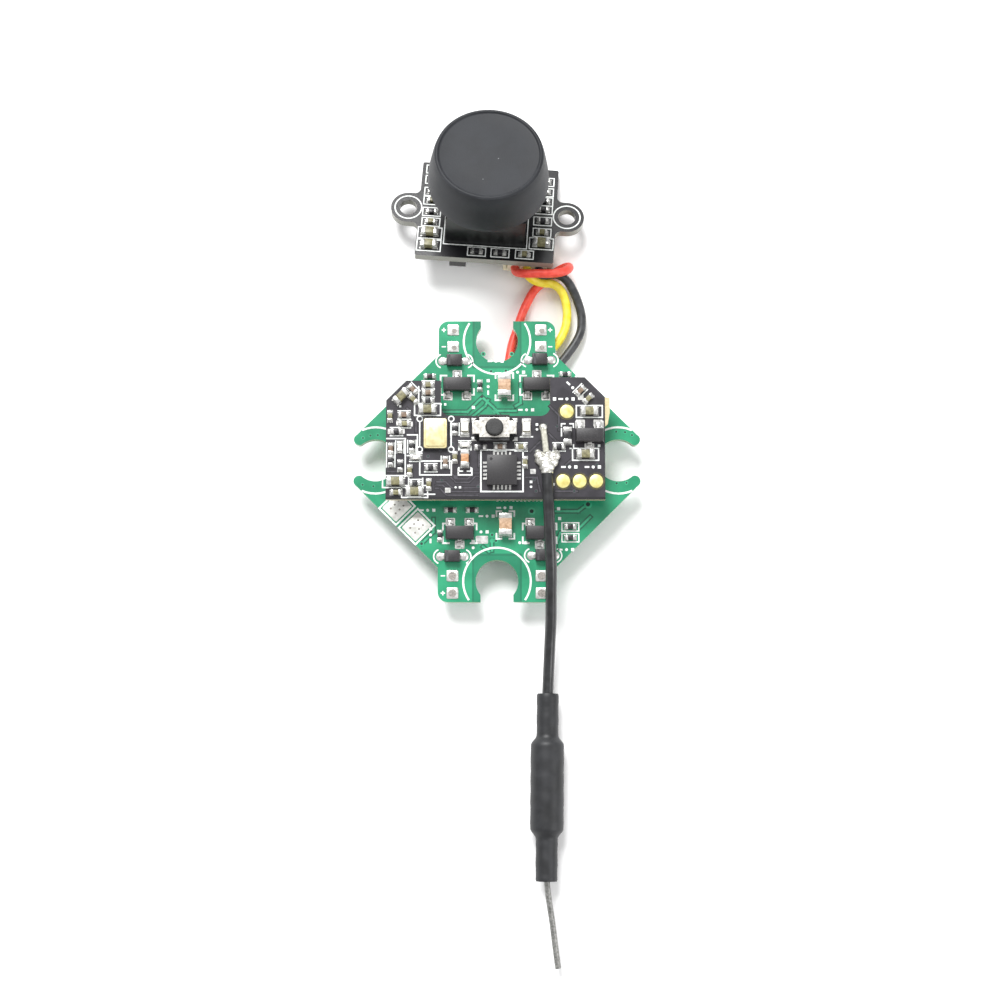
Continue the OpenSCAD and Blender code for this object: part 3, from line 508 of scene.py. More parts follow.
# %% Parts inside a CAD node
def parts_of(node, place=Matrix.Identity(4)):
    """Each separate solid of a node as (x, y, bottom, length, width, height, turn), in millimetres."""
    bm = bmesh.new()
    bm.from_mesh(nodes[node].data)
    bmesh.ops.scale(bm, vec=(1 / MM,) * 3, verts=bm.verts)
    bmesh.ops.transform(bm, matrix=place.inverted(), verts=bm.verts)
    bmesh.ops.remove_doubles(bm, verts=bm.verts, dist=1e-4)
    seen, found = set(), []
    for seed in bm.verts:
        if seed in seen:
            continue
        seen.add(seed)
        group, waiting = [], [seed]
        while waiting:
            vert = waiting.pop()
            group.append(vert.co.copy())
            for edge in vert.link_edges:
                other = edge.other_vert(vert)
                if other not in seen:
                    seen.add(other)
                    waiting.append(other)
        best = None
        for turn in (0, 45, 90, 135):
            turned = [Matrix.Rotation(-math.radians(turn), 3, "Z") @ point for point in group]
            low = Vector([min(p[i] for p in turned) for i in range(3)])
            high = Vector([max(p[i] for p in turned) for i in range(3)])
            size = high - low
            area = round(size.x * size.y, 4)
            if size.x >= size.y - 1e-4 and (best is None or area < best[0]):
                middle = Matrix.Rotation(math.radians(turn), 3, "Z") @ ((low + high) / 2)
                best = (area, (middle.x, middle.y, low.z, size.x, size.y, size.z, turn))
        found.append(best[1])
    bm.free()
    return sorted(found)


def extent(node, place=Matrix.Identity(4)):
    """The lowest and highest corners of a node in millimetres, in a place of its own."""
    points = [place.inverted() @ (v.co / MM) for v in nodes[node].data.vertices]
    return [Vector([pick(p[i] for p in points) for i in range(3)]) for pick in (min, max)]


main_top = extent("main_board")[1].z
video_top = extent("video_board")[1].z
print("board tops at", round(main_top, 2), "and", round(video_top, 2), "mm")

# %% [markdown]
# The camera module leans back, so it gets a place of its own: the line between its two ear holes is its
# X axis, the holes' own axis is its Z axis, and the middle of its board is its origin.

# %% The camera module's own place
ear_left = Vector(mounts["camera_ear_left"]["pos_m"]) / MM
ear_right = Vector(mounts["camera_ear_right"]["pos_m"]) / MM
lean_z = Vector(mounts["camera_ear_left"]["axis"]).normalized()
lean_x = (ear_right - ear_left).normalized()
lean_y = lean_z.cross(lean_x).normalized()
turned = Matrix((lean_x, lean_y, lean_z)).transposed().to_4x4()
camera_place = Matrix.Translation((ear_left + ear_right) / 2) @ turned
board_low, board_high = extent("camera_board", camera_place)
camera_top = board_high.z
print("camera board is", round(board_high.y - board_low.y, 2), "mm deep, its top at", round(camera_top, 2))

# %% [markdown]
# ## Turned pieces
# The lens cap, the lens, the plunger and the heat-shrunk sleeve are round. Each is turned from half of
# its outline, as on a lathe: the outline is spun once round the axis, and chosen rings are rounded.

# %% A lathe
def lathe(outline, steps=96, closed=False):
    """Spins (radius, height, rounding) points round Z, in millimetres."""
    bm = bmesh.new()
    points = [bm.verts.new((radius, 0, height)) for radius, height, _ in outline]
    for first, second in zip(points, points[1:] + points[:1] if closed else points[1:]):
        bm.edges.new((first, second))
    bmesh.ops.spin(
        bm, geom=bm.verts[:] + bm.edges[:], cent=(0, 0, 0), axis=(0, 0, 1), angle=2 * math.pi,
        steps=steps, use_merge=True,
    )
    bmesh.ops.remove_doubles(bm, verts=bm.verts, dist=1e-5)
    bmesh.ops.recalc_face_normals(bm, faces=bm.faces)
    for radius, height, rounding in outline:
        if rounding:
            ring = [
                e for e in bm.edges
                if all(abs(v.co.z - height) < 1e-4 and abs(v.co.xy.length - radius) < 1e-3 for v in e.verts)
            ]
            bevel(bm, ring, rounding, 4)
    return bm


# %% [markdown]
# The cap is a soft cup: a bead round its rim, a wall that draws in, a rounded shoulder, and a thin
# raised lip round a slightly sunken top.

# %% The lens cap
cap_low, cap_high = extent("lens_cap", camera_place)
rim_radius, rim, crown = cap_high.x, cap_low.z, cap_high.z
barrel_low, barrel_high = extent("lens_barrel", camera_place)
bore = barrel_high.x + 0.05
roof = barrel_high.z + 0.15
top_radius = rim_radius - 0.6
cap_outline = [
    (bore, rim, 0.12), (rim_radius, rim, 0.22), (rim_radius - 0.02, rim + 0.9, 0.3),
    (rim_radius - 0.12, rim + 1.9, 0.4), (top_radius + 0.06, crown - 0.55, 0.5),
    (top_radius - 0.1, crown - 0.12, 0.16), (top_radius - 0.26, crown, 0.08), (top_radius - 0.4, crown, 0.08),
    (top_radius - 0.52, crown - 0.16, 0.1), (top_radius * 0.55, crown - 0.15, 0), (0, crown - 0.13, 0),
    (0, roof, 0), (bore, roof, 0.2),
]
piece(
    "lens_cap_moulding", lathe(cap_outline, 128), [rubber], "cap", ["lens_cap"],
    camera_place, 50,
)

# %% [markdown]
# Under the cap, the lens has a knurled head to grip while focusing, a fine thread below it, and a
# domed front glass with a dark purple coating. The knurl is cut by drawing every other column of the
# head inwards, and the thread is shown as rings at its real pitch.

# %% The lens barrel and its front glass
thread_radius, thread_depth, half_pitch = 3.5, 0.18, 0.175
head_radius = barrel_high.x
head_top = barrel_high.z
head_bottom = extent("lens_cap", camera_place)[0].z + 0.5
thread_bottom = barrel_low.z
barrel_bore = thread_radius - 0.75
seat_radius = head_radius - 1.5
thread = [
    (thread_radius - (thread_depth if turn % 2 else 0.0), thread_bottom + 0.15 + turn * half_pitch, 0)
    for turn in range(int((head_bottom - thread_bottom - 0.4) / half_pitch))
]
barrel_outline = [
    (barrel_bore, thread_bottom, 0), (thread_radius - 0.15, thread_bottom, 0), *thread,
    (thread_radius - 0.15, head_bottom, 0), (head_radius - 0.12, head_bottom, 0),
    (head_radius, head_bottom + 0.12, 0), (head_radius, head_top - 0.9, 0),
    (head_radius - 0.14, head_top - 0.8, 0), (head_radius - 0.14, head_top - 0.12, 0),
    (head_radius - 0.26, head_top, 0), (seat_radius + 0.55, head_top, 0.05), (seat_radius, head_top - 0.45, 0),
    (seat_radius, head_top - 1.7, 0), (barrel_bore, head_top - 1.7, 0),
]
barrel = lathe(barrel_outline, 144, closed=True)
for vert in barrel.verts:
    column = round(math.degrees(math.atan2(vert.co.y, vert.co.x)) / 2.5)
    if vert.co.xy.length > head_radius - 0.05 and column % 3 == 0:
        vert.co.xy *= (head_radius - 0.14) / vert.co.xy.length
piece("lens_barrel_turned", barrel, [black_plastic], "lens", ["lens_barrel"], camera_place)

glass_low, glass_high = extent("front_glass", camera_place)
glass_radius = glass_high.x
dome = [
    (glass_radius * math.cos(a), glass_low.z + 0.5 + (glass_high.z - glass_low.z - 0.5) * math.sin(a), 0)
    for a in [math.radians(15 * step) for step in range(6)]
]
glass_outline = [(0, glass_low.z, 0), (glass_radius, glass_low.z, 0), *dome, (0, glass_high.z, 0)]
piece(
    "front_lens_glass", lathe(glass_outline), [lens_coat], "lens_glasses", ["front_glass"],
    camera_place, 60,
)

# %% [markdown]
# ## Chip parts
# A resistor or capacitor is a ceramic block with tinned ends, sitting in solder that climbs each end as
# a small ramp. One shape is made for each size and stamped at every place that the CAD model holds,
# with its body's colour chosen by what the part is.

# %% The chip shape
BODY_FINISHES = [ceramic_dark, tin, ceramic_olive, ceramic_brown, ceramic_white, orange, ceramic_tan]
DARK, OLIVE, BROWN, WHITE, ORANGE, TAN = 0, 2, 3, 4, 5, 6


@functools.lru_cache(None)
def chip_shape(length, width, height):
    bm = bmesh.new()
    end = length * 0.25
    stamp(bm, block((length - 2 * end + 0.06, width - 0.05, height - 0.03), edge=0.02), spot(0, 0, 0.02))
    for side in (-1, 1):
        turn = 0 if side > 0 else 180
        middle = side * (length - end) / 2
        stamp(bm, block((end, width, height), edge=0.05, finish=1), spot(middle, 0, 0.01))
        ramp = block((0.22, width * 0.9, height * 0.5), draft=0.7, lean=-0.09, finish=1)
        stamp(bm, ramp, spot(side * (length / 2 + 0.05), 0, 0.01, turn))
        pad = block((end + 0.18, width + 0.06, 0.03), corner=0.05, finish=1)
        stamp(bm, pad, spot(side * (length / 2 - end / 2 + 0.06), 0))
    return as_mesh(bm)


def chips(name, node, choose, place=Matrix.Identity(4)):
    """Detailed chip parts in place of a node's plain ones."""
    bm = bmesh.new()
    found = parts_of(node, place)
    for number, (x, y, bottom, length, width, height, turn) in enumerate(found):
        shape = chip_shape(round(length, 2), round(width, 2), round(height, 2))
        stamp(bm, shape, spot(x, y, bottom, turn), choose(number, x, y, length))
    piece(name, bm, BODY_FINISHES, "root", [node], place)
    return found


# %% Chips on all three boards
mixed = [OLIVE, DARK, BROWN, OLIVE, DARK, WHITE, DARK, BROWN, OLIVE]
video_small = chips(
    "video_board_small_chips", "video_small_parts", lambda n, x, y, l: mixed[n % len(mixed)]
)
video_medium = chips(
    "video_board_medium_chips", "video_medium_parts",
    lambda n, x, y, l: ORANGE if -4 < x < -2 else DARK if 6.5 < x < 7.5 else OLIVE,
)
main_small = chips("main_board_small_chips", "main_passives", lambda n, x, y, l: DARK)
camera_small = chips(
    "camera_board_chips", "camera_small_parts",
    lambda n, x, y, l: OLIVE if l > 1.3 else [DARK, OLIVE, DARK][n % 3], camera_place,
)
bulk_places = []
for number in (1, 2):
    node = f"bulk_capacitor_{number}"
    bulk_places += chips(f"bulk_chip_{number}", node, lambda n, x, y, l: TAN)
print(len(video_small) + len(video_medium) + len(main_small) + len(camera_small) + 2, "chips placed")

# %% [markdown]
# ## Transistors and diodes
# A moulded body is pressed between two tools that part at its middle, so its upper and lower halves
# narrow away from that line. Legs leave at the parting line, bend down and end flat in solder.

# %% Three-leg parts and diodes
@functools.lru_cache(None)
def three_leg_shape(length, width):
    bm = bmesh.new()
    stamp(bm, block((length - 0.04, width, 0.55), draft=0.93, edge=0.035), spot(0, 0, 0.45))
    stamp(bm, block((length - 0.16, width - 0.1, 0.4), draft=1.05), spot(0, 0, 0.07))
    stamp(bm, disc(0.12, 0.012, finish=2, segments=20), spot(-length / 2 + 0.4, -width / 2 + 0.32, 0.992))
    for x, side in ((0, 1), (-0.95, -1), (0.95, -1)):
        y = side * width / 2
        stamp(bm, block((0.42, 0.34, 0.12), edge=0.02, finish=1), spot(x, y + side * 0.1, 0.42))
        stamp(bm, block((0.42, 0.12, 0.5), edge=0.02, finish=1), spot(x, y + side * 0.22, 0.04))
        stamp(bm, block((0.42, 0.45, 0.12), edge=0.02, finish=1), spot(x, y + side * 0.38, 0.03))
        stamp(bm, block((0.78, 0.62, 0.13), draft=0.6, edge=0.03, finish=1), spot(x, y + side * 0.45, 0.01))
        stamp(bm, block((0.95, 0.82, 0.03), corner=0.08, finish=1), spot(x, y + side * 0.45))
    return as_mesh(bm)


def single_leg_turn(node):
    """0 where the single leg points to +Y, and 180 where it points to -Y."""
    points = [v.co / MM for v in nodes[node].data.vertices]
    far = max(p.y for p in points)
    ends = [p.x for p in points if p.y > far - 0.05]
    return 0 if max(ends) - min(ends) < 1 else 180


def three_leg(name, node):
    low, high = extent(node)
    bm = bmesh.new()
    shape = three_leg_shape(round(high.x - low.x, 2), 1.4)
    stamp(bm, shape, spot((low.x + high.x) / 2, (low.y + high.y) / 2, low.z, single_leg_turn(node)))
    piece(name, bm, [epoxy, tin, ceramic_dark], "root", [node])
    return low, high


transistors = [three_leg(f"mosfet_moulding_{n}", f"motor_mosfet_{n}") for n in (1, 2, 3, 4)]
three_leg("video_regulator_moulding", "video_regulator")

# %% Diodes
diodes = []
for number in (1, 2, 3, 4):
    low, high = extent(f"flyback_diode_{number}")
    middle = (low + high) / 2
    bm = bmesh.new()
    stamp(bm, block((1.58, 1.2, 0.5), draft=0.93, edge=0.035), spot(middle.x, middle.y, low.z + 0.4))
    stamp(bm, block((1.5, 1.12, 0.36), draft=1.05), spot(middle.x, middle.y, low.z + 0.05))
    stamp(bm, block((0.24, 1.08, 0.012), finish=2), spot(middle.x - 0.5, middle.y, low.z + 0.895))
    for side in (-1, 1):
        end = block((0.5, 0.6, 0.13), edge=0.02, finish=1)
        stamp(bm, end, spot(middle.x + side * 0.98, middle.y, low.z + 0.02))
        mound = disc(0.46, 0.12, edge=0.03, finish=1, segments=24, top=0.6)
        stamp(bm, mound, spot(middle.x + side * 1.22, middle.y, low.z))
    node = f"flyback_diode_{number}"
    piece(f"diode_moulding_{number}", bm, [epoxy, tin, ferrite], "root", [node])
    diodes.append(middle)

# %% [markdown]
# Flat chips have no legs. Short contacts at their edges sit in solder on pads that reach a little way
# out, and a round dimple marks the first contact's corner.

# %% Flat chips
def flat_chip(name, node, side, contacts, pitch, reach):
    low, high = extent(node)
    middle = (low + high) / 2
    height = high.z - low.z
    bm = bmesh.new()
    stamp(bm, block((side, side, height - 0.02), edge=0.03), spot(middle.x, middle.y, low.z + 0.02))
    stamp(bm, disc(side * 0.05, 0.012, finish=2, segments=24), spot(
        middle.x - side * 0.36, middle.y + side * 0.36, high.z - 0.006))
    contact = block((pitch * 0.5, 0.12, 0.24), edge=0.02, finish=1)
    pad = block((pitch * 0.6, reach + 0.22, 0.06), draft=0.8, finish=1)
    for turn in (0, 90, 180, 270):
        for i in range(contacts):
            along = (i - (contacts - 1) / 2) * pitch
            edge_place = spot(middle.x, middle.y, low.z) @ spot(0, 0, 0, turn)
            stamp(bm, contact, edge_place @ spot(along, side / 2 - 0.04))
            stamp(bm, pad, edge_place @ spot(along, side / 2 + reach / 2))
    piece(name, bm, [epoxy, tin, ceramic_dark], "root", [node])
    return middle


flat_chip("main_processor", "mcu_chip", 6.0, 12, 0.4, 0.3)
flat_chip("motion_sensor", "gyro_chip", 4.0, 6, 0.5, 0.15)
transmitter = flat_chip("video_transmitter", "transmitter_chip", 3.0, 5, 0.4, 0.3)

# %% [markdown]
# ## Crystal, lights, pads and button
# The crystal's lid is a thin metal plate seam-welded on, so it has a low flange and a raised middle.
# The lights are milky resin on a white base with tinned ends.

# %% The crystal lid and the lights
lid_low, lid_high = extent("crystal_lid")
lid = (lid_low + lid_high) / 2
bm = bmesh.new()
stamp(bm, block((lid_high.x - lid_low.x, lid_high.y - lid_low.y, 0.12), corner=0.22, edge=0.03),
      spot(lid.x, lid.y, lid_low.z))
stamp(bm, block((lid_high.x - lid_low.x - 0.3, lid_high.y - lid_low.y - 0.3, 0.16), corner=0.25, edge=0.05,
                draft=0.97), spot(lid.x, lid.y, lid_low.z + 0.08))
piece("crystal_lid_plate", bm, [lid_metal], "root", ["crystal_lid"])

for name in ("left", "right"):
    low, high = extent("status_led_" + name)
    middle = (low + high) / 2
    bm = bmesh.new()
    stamp(bm, block((0.8, 1.1, 0.3), edge=0.02), spot(middle.x, middle.y, low.z))
    stamp(bm, block((0.76, 1.06, 0.26), draft=0.86, edge=0.04), spot(middle.x, middle.y, low.z + 0.28))
    for side in (-1, 1):
        end = block((0.78, 0.26, 0.3), edge=0.04, finish=1)
        stamp(bm, end, spot(middle.x, middle.y + side * 0.67, low.z))
        stamp(bm, block((0.9, 0.42, 0.03), finish=1), spot(middle.x, middle.y + side * 0.74, low.z))
    stamp(bm, block((0.7, 0.1, 0.012), finish=2), spot(middle.x, middle.y - 0.46, low.z + 0.54))
    piece("status_light_" + name, bm, [resin, tin, ring_ink], "root", ["status_led_" + name])

# %% Test pads, motor pads and battery pads
bm = bmesh.new()
for x, y, bottom, *_ in parts_of("test_pads"):
    stamp(bm, disc(0.68, 0.05, edge=0.015), spot(x, y, bottom))
    stamp(bm, ring_part(0.78, 0.17, 0.03, 0, 360, 1), spot(x, y, bottom))
piece("gold_test_pads", bm, [gold, ring_ink], "root", ["test_pads"])

bm = bmesh.new()
motor_places = parts_of("motor_pads")
for x, y, bottom, length, width, *_ in motor_places:
    stamp(bm, block((length, width, 0.1), corner=0.16, edge=0.04, draft=0.92), spot(x, y, bottom))
    if y < 0:
        stamp(bm, disc(0.4, 0.03, finish=1, segments=24), spot(x, y, bottom + 0.09))
    else:
        stamp(bm, disc(0.26, 0.02, finish=1, segments=20), spot(x + 0.1, y - 0.1, bottom + 0.09))
hole_shade = grained("flux_shade", paint(112, 110, 106), paint(168, 162, 154), 0.45, 0.15)
piece("motor_solder_pads", bm, [tin, hole_shade], "root", ["motor_pads"])

bm = bmesh.new()
battery_places = parts_of("battery_pads")
for x, y, bottom, length, width, _, turn in battery_places:
    stamp(bm, block((length, width, 0.07), corner=0.12, edge=0.03), spot(x, y, bottom, turn))
    for i in range(6):
        across = spot(x, y, bottom + 0.065, turn) @ spot((i % 3 - 1) * 0.55, (i // 3 - 0.5) * 0.7)
        stamp(bm, disc(0.1, 0.012, finish=1, segments=12), across)
piece("battery_solder_pads", bm, [bright_tin, hole_shade], "root", ["battery_pads"])

# %% [markdown]
# The push button's plunger is turned with a softened crown. Its plate is stamped steel whose wings bend
# over the base and are staked at four points, and its feet are soldered at the corners.

# %% The push button
plunger_low, plunger_high = extent("button_plunger")
button = (plunger_low + plunger_high) / 2
flange = plunger_high.x - button.x
stem = 0.82
top = plunger_high.z - plunger_low.z
plunger_outline = [
    (0, 0, 0), (flange, 0, 0), (flange, 0.25, 0.03), (stem, 0.25, 0.02), (stem, top, 0.09),
    (stem * 0.5, top, 0), (0, top - 0.01, 0),
]
piece(
    "button_plunger_turned", lathe(plunger_outline, 64), [plunger_plastic], "plunger", ["button_plunger"],
    spot(button.x, button.y, plunger_low.z),
)
plate_low, plate_high = extent("button_plate")
bm = bmesh.new()
for side_x in (-1, 1):
    wing = block((0.1, 1.3, 0.62), edge=0.03)
    wing_x = button.x + side_x * (plate_high.x - plate_low.x) / 2
    stamp(bm, wing, spot(wing_x, button.y, plate_high.z - 0.64))
    for side_y in (-1, 1):
        stake = disc(0.14, 0.05, edge=0.02, segments=16)
        stamp(bm, stake, spot(button.x + side_x * 1.15, button.y + side_y * 0.72, plate_high.z - 0.01))
        foot = block((0.62, 0.5, 0.16), draft=0.7, edge=0.04, finish=1)
        stamp(bm, foot, spot(button.x + side_x * 2.05, button.y + side_y * 0.95, video_top))
piece("button_wings_and_feet", bm, [steel, tin], "root", ())

# %% [markdown]
# ## Lines printed on the boards
# The white print is ink about as thick as paint. Straight lines are thin blocks, curves are bent
# strips, and they all go into one mesh a board. Brackets are placed round the parts that the CAD model
# holds. Where real boards carry reference names, small rows of plain marks stand in for them.

# %% Line helpers
INK = 0.025
# Each line lies a little higher than the one before, so that crossing lines share no plane
LIFT_STEP, LIFT_COUNT = 0.0007, 7
LIFTS = itertools.cycle([step * LIFT_STEP for step in range(1, LIFT_COUNT + 1)])


def line(bm, start, stop, z, width=0.16, finish=0, height=INK):
    """A straight printed line between two (x, y) points."""
    a, b = Vector(start), Vector(stop)
    run = b - a
    shape = block((round(run.length + width, 3), width, height), finish=finish)
    middle = (a + b) / 2
    stamp(bm, shape, spot(middle.x, middle.y, z + next(LIFTS), math.degrees(math.atan2(run.y, run.x))))


def path(bm, points, z, width=0.16, finish=0, height=INK):
    for start, stop in zip(points, points[1:]):
        line(bm, start, stop, z, width, finish, height)


def frame_round(bm, x0, y0, x1, y1, z, width=0.15):
    path(bm, [(x0, y0), (x1, y0), (x1, y1), (x0, y1), (x0, y0)], z, width)


def around(x, y, half_x, half_y):
    """The sides of a box round a point."""
    return x - half_x, y - half_y, x + half_x, y + half_y


def brackets(bm, x0, y0, x1, y1, z, arm=0.5, width=0.16):
    """A short corner at each corner of a box."""
    for x, inward_x in ((x0, 1), (x1, -1)):
        for y, inward_y in ((y0, 1), (y1, -1)):
            path(bm, [(x + inward_x * arm, y), (x, y), (x, y + inward_y * arm)], z, width)


# %% Plain marks
@functools.lru_cache(None)
def mark_shape(kind):
    """One of three plain marks that say nothing: a dash, a filled square or a dot."""
    bm = bmesh.new()
    if kind == 0:
        stamp(bm, block((0.46, 0.18, INK)), spot(0, 0))
    elif kind == 1:
        stamp(bm, block((0.32, 0.32, INK)), spot(0, 0))
    else:
        stamp(bm, disc(0.15, INK, segments=16), spot(0, 0))
    return as_mesh(bm)


def marks(bm, x, y, z, count, turn=0.0, size=1.0):
    """A row of plain marks that stands for a printed reference."""
    for i in range(count):
        place = spot(x, y, z, turn) @ spot((i - (count - 1) / 2) * 0.62 * size, 0)
        stamp(bm, mark_shape((i * 2 + count) % 3), place @ Matrix.Diagonal((size, size, 1, 1)))


# %% Print on the main board
bm = bmesh.new()
z = main_top - 0.004
for name, start, stop in (("notch_far", -214, 34), ("notch_near", -34, 214), ("notch_left", -114, 114),
                          ("notch_right", 66, 294)):
    x, y, _ = mounts[name]["pos_m"]
    stamp(bm, ring_part(3.4, 0.2, INK, start, stop), spot(x / MM, y / MM, z))
for low, high in transistors:
    brackets(bm, low.x - 0.25, low.y + 0.3, high.x + 0.25, high.y - 0.3, z, 0.6, 0.17)
for x, y, _, length, width, *_ in bulk_places:
    brackets(bm, *around(x, y, width / 2 + 0.25, length / 2 + 0.3), z, 0.5, 0.17)
for middle in diodes:
    for side in (-1, 1):
        arc = ring_part(0.72, 0.14, INK, -70, 70)
        stamp(bm, arc, spot(middle.x + side * 1.15, middle.y, z, 0 if side > 0 else 180))
for x, y, _, length, width, *_ in motor_places:
    out = 1 if x > 0 else -1
    line(bm, (x + out * 0.8, y), (x + out * 1.12, y), z, 0.12)
    if abs(y) > 13:
        line(bm, (x + out * 0.96, y - 0.16), (x + out * 0.96, y + 0.16), z, 0.12)
for x, y, _, length, width, _, turn in battery_places:
    for i in range(4):
        a = spot(x, y, 0, turn) @ Matrix.Rotation(math.radians(90 * i), 4, "Z")
        reach = (length, width)[i % 2] / 2 + 0.2
        half = (width, length)[i % 2] / 2 + 0.2
        line(bm, (a @ Vector((reach, -half, 0))).xy, (a @ Vector((reach, half, 0))).xy, z, 0.18)
for x, y, count, turn in (
    (-0.9, 7.6, 3, 90), (-0.1, 10.25, 3, 0), (-2.4, 5.45, 1, 0), (3.0, 5.2, 3, 0), (-7.0, -5.1, 3, 0),
    (-1.0, -5.7, 3, 0), (0.8, -4.85, 3, 0), (5.6, -4.95, 3, 0), (5.7, -5.95, 3, 0), (-1.3, -7.3, 2, 0),
    (-6.7, -7.6, 3, 90), (7.0, -9.1, 3, 0), (-8.6, 7.0, 2, 45), (8.3, 8.4, 2, -45), (-2.4, -8.6, 2, 90),
    (2.6, -8.4, 2, 0), (2.4, 9.1, 2, 0),
):
    marks(bm, x, y, z, count, turn)
for x, y in ((7.4, -6.8), (7.4, -7.9)):
    frame_round(bm, *around(x, y, 0.85, 0.42), z, 0.12)
piece("main_board_print", bm, [silk], "root", ())

# %% [markdown]
# Copper traces show through the mask as faintly raised, lighter lines between darker gaps. They are
# laid as two strips, a wide dark one and a narrower light one on it. Plated holes are dark dots in
# rings.

# %% Traces and holes on the main board
TRACE, GAP, HOLE = 0, 1, 2


def trace(bm, points, z, gap, copper):
    """A raised trace on a wider dark gap."""
    path(bm, points, z, gap, GAP, 0.012)
    path(bm, points, z, copper, TRACE, 0.02)


def via(bm, x, y, z, ring, hole, segments):
    """A plated hole: a dark dot on a raised ring."""
    stamp(bm, disc(ring, 0.016, segments=segments + 4), spot(x, y, z))
    stamp(bm, disc(hole, 0.024, finish=HOLE, segments=segments), spot(x, y, z))


trace_green = grained("trace_green", paint(40, 152, 110), paint(62, 174, 130), 0.3, 0.5, coat=0.5)
gap_green = grained("gap_green", paint(8, 84, 60), paint(16, 102, 76), 0.32, 0.5, coat=0.5)
via_dark = grained("via_dark", paint(14, 40, 34), paint(30, 62, 54), 0.5, 0.1)
bm = bmesh.new()
z = main_top - 0.006
for points in (
    [(-6.2, 5.0), (-3.0, 5.0), (-1.9, 6.1), (-1.5, 6.5)],
    [(-5.0, 4.4), (-2.6, 4.4), (-1.2, 5.6), (-0.9, 6.2)],
    [(-0.2, 5.1), (1.9, 5.1)],
    [(-1.5, 6.5), (-0.4, 5.5), (0.4, 4.4)],
    [(2.4, 7.9), (2.4, 5.9), (1.9, 5.6)],
    [(-7.6, -8.5), (-6.4, -7.3), (-6.4, -6.0)],
    [(-0.5, -8.2), (-0.5, -9.2)], [(-1.4, -8.8), (-0.8, -9.3)],
    [(5.4, -5.2), (8.2, -5.2), (9.0, -4.6)],
    [(8.4, -6.8), (9.4, -5.8)], [(6.4, -7.4), (5.9, -8.6), (5.9, -9.8)],
    [(-6.2, 8.0), (-7.6, 6.8)], [(6.3, 8.2), (7.9, 6.8)],
):
    trace(bm, points, z, 0.5, 0.22)
for x, y, radius in (
    (-13.6, 2.3, 0.1), (-12.85, 2.55, 0.1), (-12.1, 2.6, 0.1), (-13.6, -2.5, 0.1), (-12.5, -2.65, 0.1),
    (12.1, 2.95, 0.1), (13.0, 2.9, 0.1), (13.7, 2.6, 0.1), (12.1, -2.35, 0.1), (13.1, -2.3, 0.1),
    (-1.55, 6.55, 0.14), (-0.2, 5.1, 0.14), (-7.6, -8.5, 0.14), (-0.5, -8.2, 0.12), (-0.1, -8.2, 0.12),
    (-0.5, -7.6, 0.12), (3.5, -5.2, 0.2), (9.2, -4.5, 0.22), (-1.4, 11.0, 0.12), (1.5, 11.0, 0.12),
    (-0.6, 9.2, 0.12), (0.9, 9.25, 0.12), (-8.8, 5.6, 0.14), (9.6, 5.4, 0.14),
):
    via(bm, x, y, z, radius * 1.9, radius, 16)
stamp(bm, block((1.2, 0.8, 0.03), corner=0.1, finish=3), spot(-1.5, -8.1, z))
piece("main_board_traces", bm, [trace_green, gap_green, via_dark, tin], "root", ())

# %% Print on the video board
bm = bmesh.new()
z = video_top - 0.004
for x, y, _, length, width, _, turn in video_medium:
    if turn == 0:
        frame_round(bm, *around(x, y, length / 2 + 0.5, width / 2 + 0.2), z, 0.13)
    elif turn == 90:
        brackets(bm, *around(x, y, width / 2 + 0.2, length / 2 + 0.45), z, 0.35, 0.13)
for number, (x, y, *_, turn) in enumerate(video_small):
    across = spot(x, y, 0, turn)
    if number % 3:
        for way in (-1, 1):
            a, b = across @ Vector((-0.62, way * 0.42, 0)), across @ Vector((0.62, way * 0.42, 0))
            line(bm, a.xy, b.xy, z, 0.11)
low, high = extent("transmitter_chip")
frame_round(bm, low.x - 0.3, low.y - 0.3, high.x + 0.3, high.y + 0.3, z, 0.15)
stamp(bm, disc(0.16, INK, segments=20), spot(low.x - 0.5, high.y + 0.45, z))
low, high = extent("crystal_base")
for x, way in ((low.x - 0.32, 1), (high.x + 0.32, -1)):
    path(bm, [(x, low.y + 0.35), (x, high.y - 0.35)], z, 0.13)
    for y, start in ((low.y + 0.05, 0), (high.y - 0.05, 0)):
        stamp(bm, ring_part(0.27, 0.12, INK, 0, 360), spot(x, y, z))
path(bm, [(-11.0, 1.72), (-9.15, 1.72), (-9.15, -2.0), (-9.15, -2.1)], z, 0.13)
path(bm, [(-8.95, 2.1), (-7.95, 2.1), (-7.95, 0.0), (-8.95, 0.0)], z, 0.13)
path(bm, [(-7.85, 5.2), (-7.85, 7.0)], z, 0.13)
path(bm, [(-3.85, -1.3), (-3.85, -1.95), (-2.5, -1.95), (-2.5, -1.3)], z, 0.13)
frame_round(bm, -7.7, -1.95, -4.55, -0.55, z, 0.13)
path(bm, [(-7.4, -2.3), (-7.4, -3.9), (-6.2, -3.9)], z, 0.13)
path(bm, [(-8.9, -4.15), (-7.6, -4.15)], z, 0.13)
path(bm, [(2.35, 1.9), (3.55, 1.9)], z, 0.13)
path(bm, [(6.45, 2.0), (6.45, 2.85)], z, 0.13)
